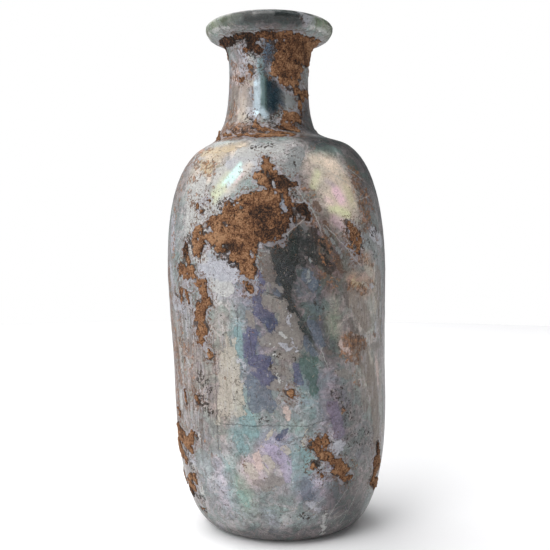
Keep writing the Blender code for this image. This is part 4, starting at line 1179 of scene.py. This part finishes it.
def crust_material(colours):
    """Dry earth that baked on in the ground, with black pits. Its colour is darker where its grains and
    relief are low and lighter where they are high: partly its own mottle, partly painted shade in its hollows
    and painted highlight on its grains.
    """
    r = Recipe(bpy.data.materials, "burial_crust")
    where = millimetres(r)
    grain = r.noise(where, 0.36, 5.0, 0.78)
    lump = r.noise(where, 2.6, 3.0)
    rise = r.attribute("rise")
    umber = r.attribute("umber")
    patches = r.noise(where, 1.2, 4.0, 0.6, 0.6)
    # The grain noise that raises the bump, and the crust's height, lighten the colour where high and darken
    # it where low: painted highlight and shade with the earth's own mottle.
    mottle_and_relief_shade = (grain - 0.5) * 1.9 + (patches - 0.5) * 0.6 + (lump - 0.5) * 0.5 + (rise - 0.2) * 0.6 + 0.61
    earth = r.add("ValToRGB", {"stops": [
        (0.12, colours.soot), (0.34, colours.earth_dark), (0.55, colours.earth), (0.8, colours.earth_light),
    ]}, {"Fac": mottle_and_relief_shade - umber * 0.3})
    pits = (r.noise(where, 0.7, 4.0, 0.6, 0.3) - 0.62).crisp(0.03)
    earth = r.mix(pits * 0.8, earth, colours.soot)
    height = (grain - 0.5) * 0.32 + (r.noise(where, 0.17, 3.0, 0.7) - 0.5) * 0.2
    bump = r.add("Bump", None, {"Strength": 1.0, "Distance": MM, "Height": height})
    shader = r.add("BsdfPrincipled", None, {
        "Base Color": earth, "Roughness": 0.92, "Normal": bump, "Specular IOR Level": 0.2,
    })
    return r.finish("OutputMaterial", shader)


def floor_material(colours):
    """A plain pale sweep, with the least unevenness of matt paper."""
    r = Recipe(bpy.data.materials, "studio_floor")
    paper = r.noise(millimetres(r), 0.8, 2.0)
    colour = r.scaled(tuple(colours.floor), 0.995 + (paper - 0.5) * 0.01)
    shader = r.add("BsdfPrincipled", None, {
        "Base Color": colour, "Roughness": 0.8, "Specular IOR Level": 0.2,
    })
    return r.finish("OutputMaterial", shader)


def spun(line, start, turn, steps, layers):
    """A mesh of a section line turned about Z from an angle in degrees, with named values at its points."""
    mesh = bmesh.new()
    stores = {name: mesh.verts.layers.float.new(name) for name in layers}
    across, back = math.sin(math.radians(start)), -math.cos(math.radians(start))
    row = []
    for index, (radius, height) in enumerate(line):
        vert = mesh.verts.new((radius * across, radius * back, height))
        for name, store in stores.items():
            vert[store] = layers[name][index]
        row.append(vert)
    edges = [mesh.edges.new(pair) for pair in zip(row, row[1:])]
    part = math.radians(turn) / 2**DOUBLINGS
    bmesh.ops.spin(
        mesh, geom=row + edges, cent=(0, 0, 0), axis=(0, 0, 1), dvec=(0, 0, 0), angle=part,
        steps=max(1, round(steps / 2**DOUBLINGS)), use_merge=False, use_duplicate=False,
    )
    for doubling in range(DOUBLINGS):
        everything = mesh.verts[:] + mesh.edges[:] + mesh.faces[:]
        copied = bmesh.ops.duplicate(mesh, geom=everything)["geom"]
        verts = [v for v in copied if isinstance(v, bmesh.types.BMVert)]
        further = Matrix.Rotation(part * 2**doubling, 3, "Z")
        bmesh.ops.rotate(mesh, verts=verts, cent=(0, 0, 0), matrix=further)
    bmesh.ops.remove_doubles(mesh, verts=mesh.verts, dist=1e-4)
    bmesh.ops.recalc_face_normals(mesh, faces=mesh.faces)
    return mesh


def coordinates(mesh_data):
    flat = np.empty(len(mesh_data.vertices) * 3)
    mesh_data.vertices.foreach_get("co", flat)
    return flat.reshape(-1, 3)


def stored(mesh_data, name):
    values = np.empty(len(mesh_data.vertices), dtype=np.float32)
    mesh_data.attributes[name].data.foreach_get("value", values)
    return values


def store(mesh_data, name, values, kind="FLOAT"):
    attribute = mesh_data.attributes.get(name) or mesh_data.attributes.new(name, kind, "POINT")
    if kind == "FLOAT_COLOR":
        opaque = np.column_stack([values, np.ones(len(values))])
        attribute.data.foreach_set("color", opaque.astype(np.float32).ravel())
    else:
        attribute.data.foreach_set("value", np.asarray(values, dtype=np.float32))


def placed(name, mesh_data, material):
    """Links a finished piece, whose place is in its mesh, to the scene."""
    mesh_data.materials.append(material)
    mesh_data.shade_smooth()
    piece = bpy.data.objects.new(name, mesh_data)
    bpy.context.scene.collection.objects.link(piece)
    return piece


def outward_at(section, surface):
    """The outward normal of the unbent outside at each point."""
    radial = np.interp(surface.along, section.along, section.outward[:, 0])
    up = np.interp(surface.along, section.along, section.outward[:, 1])
    turn = np.radians(surface.angle)
    return np.stack([radial * np.sin(turn), -radial * np.cos(turn), up], axis=1)


class UNGUENTARIUM_OT_vessel(Operator):
    """Turn the glass vessel with its true wall, bend it as it was blown and paint its weathering, with
    painted highlights and shade
    """

    bl_idname = "unguentarium.vessel"
    bl_label = "Glass Vessel"

    def execute(self, context):
        section = Section(context.scene.unguentarium_sizes)
        colours = context.scene.unguentarium_colours
        inside = section.inside_line()
        outside = evenly(section.outside, section.outside_cell)[::-1]
        underside = section.underside_line()
        line = np.concatenate([inside, outside, underside])
        region = [INSIDE] * len(inside) + [OUTSIDE] * len(outside) + [UNDERSIDE] * len(underside)
        mesh = spun(line, 0.0, 360.0, section.segments, {"region": region})
        mesh_data = bpy.data.meshes.new("glass_vessel")
        mesh.to_mesh(mesh_data)
        mesh.free()
        points = coordinates(mesh_data)
        surface = Surface(section, points)
        on_outside = np.abs(stored(mesh_data, "region") - OUTSIDE) < 0.5
        moved = points + outward_at(section, surface) * (self.relief(surface) * on_outside)[:, None]
        mesh_data.vertices.foreach_set("co", (section.bend(moved) * MM).ravel())
        self.paint(mesh_data, surface, colours, on_outside)
        vessel = placed("glass_vessel", mesh_data, film_material(colours))
        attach(vessel, "root")
        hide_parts("bottle")
        return {"FINISHED"}

    @staticmethod
    def relief(surface):
        """How far the weathered surface stands off the true one, in millimetres. Foot and rim stay true."""
        section = surface.section
        height = surface.points[:, 2]
        below_rim = 1.0 - smooth_step((height - section.top + 3.0) / 2.0)
        clear_of_ends = smooth_step((height - 1.0) / 6.0) * below_rim
        blown = 0.10 * surface.noise(16.0, 21) + 0.05 * surface.noise(7.0, 22)
        flaked = surface.inside_of(itertools.chain(*UPPER_FILM.values())) + 0.8 * surface.noise(1.4, 23)
        pale = smooth_step(0.5 + flaked / 0.6)
        pitted = 0.03 * surface.noise(1.1, 24) + 0.02 * surface.noise(0.6, 25)
        return (blown + 0.06 * pale + pitted - 0.05) * clear_of_ends

    @staticmethod
    def paint(mesh_data, surface, colours, on_outside):
        wash = surface.washed(colours)
        lustre_colour, lustre = surface.painted(HIGHLIGHTS_AND_TINTS, wash, colours)
        store(mesh_data, "lustre_colour", lustre_colour, "FLOAT_COLOR")
        store(mesh_data, "lustre", lustre * on_outside)
        for name, lines in (("dark_line", DARK_LINES), ("pale_line", PALE_LINES)):
            beside, near = surface.beside(lines)
            store(mesh_data, name, beside)
            store(mesh_data, name + "_near", near * on_outside)
        dull = np.array(colours.taupe) * 0.55
        wash = np.where(on_outside[:, None], wash, dull[None])
        store(mesh_data, "wash", wash, "FLOAT_COLOR")
        for name, strokes in (("lower", LOWER_FILM), ("middle", MIDDLE_FILM), ("upper", UPPER_FILM)):
            depth, colour = surface.layer_of(strokes, colours)
            store(mesh_data, name, np.where(on_outside, depth, -FAR))
            store(mesh_data, name + "_colour", colour, "FLOAT_COLOR")
        store(mesh_data, "streaked", surface.amount_of(STREAKED, 1.6))
        store(mesh_data, "clear", surface.inside_of(CLEAR_GLASS))
        store(mesh_data, "dim", surface.amount_of(DIM_FILM))
        store(mesh_data, "stain", surface.amount_of(STAINS) * on_outside)
        store(mesh_data, "specks", surface.amount_of(SPECKS) * on_outside)
        store(mesh_data, "crust", np.where(on_outside, surface.crust_depth(), -FAR))


# The crust's fields: from and to which angle, and from and to which height.
CRUST_FIELDS = {
    "crust_neck_front": (-90.0, 90.0, 92.5, 121.2),
    "crust_neck_back": (90.0, 270.0, 92.5, 121.2),
    "crust_shoulder": (-60.0, 52.0, 57.0, 92.5),
    "crust_left": (-88.0, -30.0, 28.0, 66.0),
    "crust_foot_left": (-90.0, -48.0, 4.0, 30.0),
    "crust_foot_right": (0.0, 80.0, 8.0, 40.0),
    "crust_back_left": (-176.0, -82.0, 8.0, 92.5),
    "crust_back_right": (82.0, 183.0, 8.0, 76.0),
}

# The older, darker earth: angle, height, angle, height, half width, and how dark.
UMBER = [
    (-80, 119.6, -20, 119.6, 2.2, 1.0), (-24, 118, -14, 115.6, 1.4, 1.0), (-6, 120, 2, 119.6, 1.3, 0.9),
    (10, 114, 18, 112.6, 1.2, 0.6), (-6, 76, 4, 74, 3.4, 0.75), (0, 84, 9, 83, 1.8, 0.9),
    (6, 79, 9, 76.4, 1.4, 0.5), (13, 77.6, 15, 75.8, 1.6, 0.9), (-23, 70, -17, 69.4, 1.2, 0.8),
    (-50, 71, -51, 68, 1.0, 0.8), (-72, 10, -64, 9.6, 1.4, 0.8), (62, 22, 64, 20, 1.2, 0.8),
    (4, 99, 12, 97, 1.6, 0.7), (-2, 72, 2, 71, 1.2, 0.6), (24, 118, 60, 115, 3.0, 0.4),
    (20, 111.6, 34, 111, 1.6, 0.35), (-178, 119.4, -80, 119.6, 1.6, 0.6),
]


# How far the crust's skin reaches past its outline, and how deep its underside is sunk, in millimetres.
CRUST_SKIRT = 0.16
CRUST_SINK = 0.18


def without_loose_corners(mesh):
    """Removes points where the crust would hang together by a corner only."""
    while True:
        loose = [v for v in mesh.verts if not v.link_faces or sum(e.is_boundary for e in v.link_edges) > 2]
        if not loose:
            return
        bmesh.ops.delete(mesh, geom=loose, context="VERTS")


def crust_patch(name, section, low_angle, high_angle, low_height, high_height):
    """The crust in one field of the outside, as a closed skin that is sunk a little into the glass."""
    low, high = np.interp([low_height, high_height], section.outside[:, 1], section.along)
    fine = evenly(section.outside, section.crust_cell)
    along = np.linspace(0.0, section.along[-1], len(fine))
    line = fine[(along >= low) & (along <= high)]
    turn = high_angle - low_angle
    steps = int(math.radians(turn) * line[:, 0].mean() / section.crust_cell)
    mesh = spun(line, low_angle, turn, steps, {})
    mesh.verts.ensure_lookup_table()
    surface = Surface(section, np.array([v.co[:] for v in mesh.verts]))
    depth = surface.crust_depth()
    bare = [v for v, d in zip(mesh.verts, depth) if d < -CRUST_SKIRT]
    bmesh.ops.delete(mesh, geom=bare, context="VERTS")
    without_loose_corners(mesh)
    top = bmesh.ops.extrude_face_region(mesh, geom=mesh.faces[:], use_keep_orig=True)["geom"]
    raised = {v for v in top if isinstance(v, bmesh.types.BMVert)}
    mesh.verts.ensure_lookup_table()
    mesh.verts.index_update()
    on_top = np.array([v in raised for v in mesh.verts])
    surface = Surface(section, np.array([v.co[:] for v in mesh.verts]))
    depth = surface.crust_depth()
    plateau = 1.0 - np.exp(-np.clip(depth + 0.14, 0.0, None) / 0.22)
    lumps = 0.2 + 0.13 * surface.noise(2.6, 31) + 0.12 * surface.noise(1.2, 32)
    grains = 0.10 * surface.noise(0.62, 33) + 0.10 * surface.noise(0.34, 34)
    edge = smooth_step((depth + CRUST_SKIRT) / 0.2)
    rise = (plateau * lumps + grains) * edge - 0.05 * (1.0 - edge)
    lift = np.where(on_top, rise, -CRUST_SINK)
    points = surface.points + outward_at(section, surface) * lift[:, None]
    for vert, place in zip(mesh.verts, section.bend(points) * MM):
        vert.co = place
    bmesh.ops.recalc_face_normals(mesh, faces=mesh.faces)
    mesh_data = bpy.data.meshes.new(name)
    mesh.to_mesh(mesh_data)
    mesh.free()
    store(mesh_data, "rise", rise)
    store(mesh_data, "umber", surface.amount_of(UMBER))
    return mesh_data


class UNGUENTARIUM_OT_crust(Operator):
    """Lay the burial crust on the glass, in one skin for each side of the vessel"""

    bl_idname = "unguentarium.crust"
    bl_label = "Burial Crust"

    def execute(self, context):
        section = Section(context.scene.unguentarium_sizes)
        material = crust_material(context.scene.unguentarium_colours)
        for name, field in CRUST_FIELDS.items():
            crust = placed(name, crust_patch(name, section, *field), material)
            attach(crust, "root")
        return {"FINISHED"}


# Each soft box's size across and up, its distance in metres, its azimuth and its elevation in degrees.
SOFT_BOXES = {
    "key": ((0.3, 0.75), 0.62, -34.0, 22.0),
    "top": ((2.0, 2.0), 1.25, -80.0, 62.0),
    "fill": ((0.3, 0.4), 0.7, 80.0, 4.0),
    "back": ((0.3, 0.3), 0.7, 128.0, 2.0),
    "glow": ((0.3, 0.3), 0.7, 58.0, 58.0),
    "sweep": ((0.7, 0.5), 0.9, -150.0, 38.0),
}


class UNGUENTARIUM_OT_studio(Operator):
    """Set the floor, the soft boxes and the camera round the vessel"""

    bl_idname = "unguentarium.studio"
    bl_label = "Studio"

    def execute(self, context):
        studio = context.scene.unguentarium_studio
        self.add_floor(context, studio.floor_radius)
        for name, box in SOFT_BOXES.items():
            self.add_soft_box(name, getattr(studio, name + "_power"), *box)
        self.set_world(context, studio.room)
        self.add_camera(context, studio)
        context.scene.view_settings.view_transform = "Standard"
        return {"FINISHED"}

    @staticmethod
    def add_floor(context, radius):
        mesh = bmesh.new()
        bmesh.ops.create_circle(mesh, cap_ends=True, segments=96, radius=radius)
        mesh_data = bpy.data.meshes.new("studio_floor")
        mesh.to_mesh(mesh_data)
        mesh.free()
        placed("studio_floor", mesh_data, floor_material(context.scene.unguentarium_colours))

    @staticmethod
    def add_soft_box(name, power, size, distance, azimuth, elevation):
        """A soft box that looks at the middle of the vessel, azimuth degrees from the front towards +X."""
        light = bpy.data.lights.new(name, "AREA")
        light.shape = "RECTANGLE"
        light.size, light.size_y = size
        light.energy = power
        lamp = bpy.data.objects.new(name, light)
        turn, up = math.radians(azimuth), math.radians(elevation)
        middle = sum(corner[2] for corner in CAD_BOX) / 2.0
        flat = distance * math.cos(up)
        lamp.location = (flat * math.sin(turn), -flat * math.cos(turn), middle + distance * math.sin(up))
        lamp.rotation_euler = (math.radians(90.0) - up, 0.0, turn)
        bpy.context.scene.collection.objects.link(lamp)

    @staticmethod
    def set_world(context, room):
        """White behind the vessel, and a dimmer room for what the lights and the glass see."""
        r = Recipe(bpy.data.worlds, "studio_room")
        seen = r.add("LightPath", output="Is Camera Ray")
        dim = r.add("Background", None, {"Color": (room, room, room * 1.02, 1.0)})
        white = r.add("Background", None, {"Color": (1.0, 1.0, 1.0, 1.0)})
        both = r.add("MixShader", None, {0: seen, 1: dim, 2: white})
        context.scene.world = r.finish("OutputWorld", both)

    @staticmethod
    def add_camera(context, studio):
        camera = bpy.data.cameras.new("camera")
        camera.lens = studio.camera_lens
        camera.sensor_width = 36.0
        camera.clip_start = 0.01
        view = bpy.data.objects.new("camera", camera)
        view.location = (studio.camera_side, -studio.camera_distance, studio.camera_height)
        view.rotation_euler = (math.radians(90.0 - studio.camera_dip), 0.0, 0.0)
        context.scene.collection.objects.link(view)
        context.scene.camera = view


class UNGUENTARIUM_PT_panel(Panel):
    """The vessel's sizes and colours, and the buttons that build it"""

    bl_idname = "UNGUENTARIUM_PT_panel"
    bl_label = "Glass Unguentarium"
    bl_space_type = "VIEW_3D"
    bl_region_type = "UI"
    bl_category = "Unguentarium"

    def draw(self, context):
        for operator in OPERATORS:
            self.layout.operator(operator.bl_idname)
        scene = context.scene
        for group in (scene.unguentarium_sizes, scene.unguentarium_colours, scene.unguentarium_studio):
            box = self.layout.box()
            for name in type(group).__annotations__:
                box.prop(group, name)


OPERATORS = (UNGUENTARIUM_OT_vessel, UNGUENTARIUM_OT_crust, UNGUENTARIUM_OT_studio)
CLASSES = (VesselSizes, FinishColours, StudioSettings, *OPERATORS, UNGUENTARIUM_PT_panel)


def register():
    for each in CLASSES:
        bpy.utils.register_class(each)
    bpy.types.Scene.unguentarium_sizes = PointerProperty(type=VesselSizes)
    bpy.types.Scene.unguentarium_colours = PointerProperty(type=FinishColours)
    bpy.types.Scene.unguentarium_studio = PointerProperty(type=StudioSettings)


def unregister():
    del bpy.types.Scene.unguentarium_studio
    del bpy.types.Scene.unguentarium_colours
    del bpy.types.Scene.unguentarium_sizes
    for each in reversed(CLASSES):
        bpy.utils.unregister_class(each)


def main():
    register()
    bpy.ops.unguentarium.vessel()
    bpy.ops.unguentarium.crust()
    bpy.ops.unguentarium.studio()


if __name__ == "__main__":
    main()
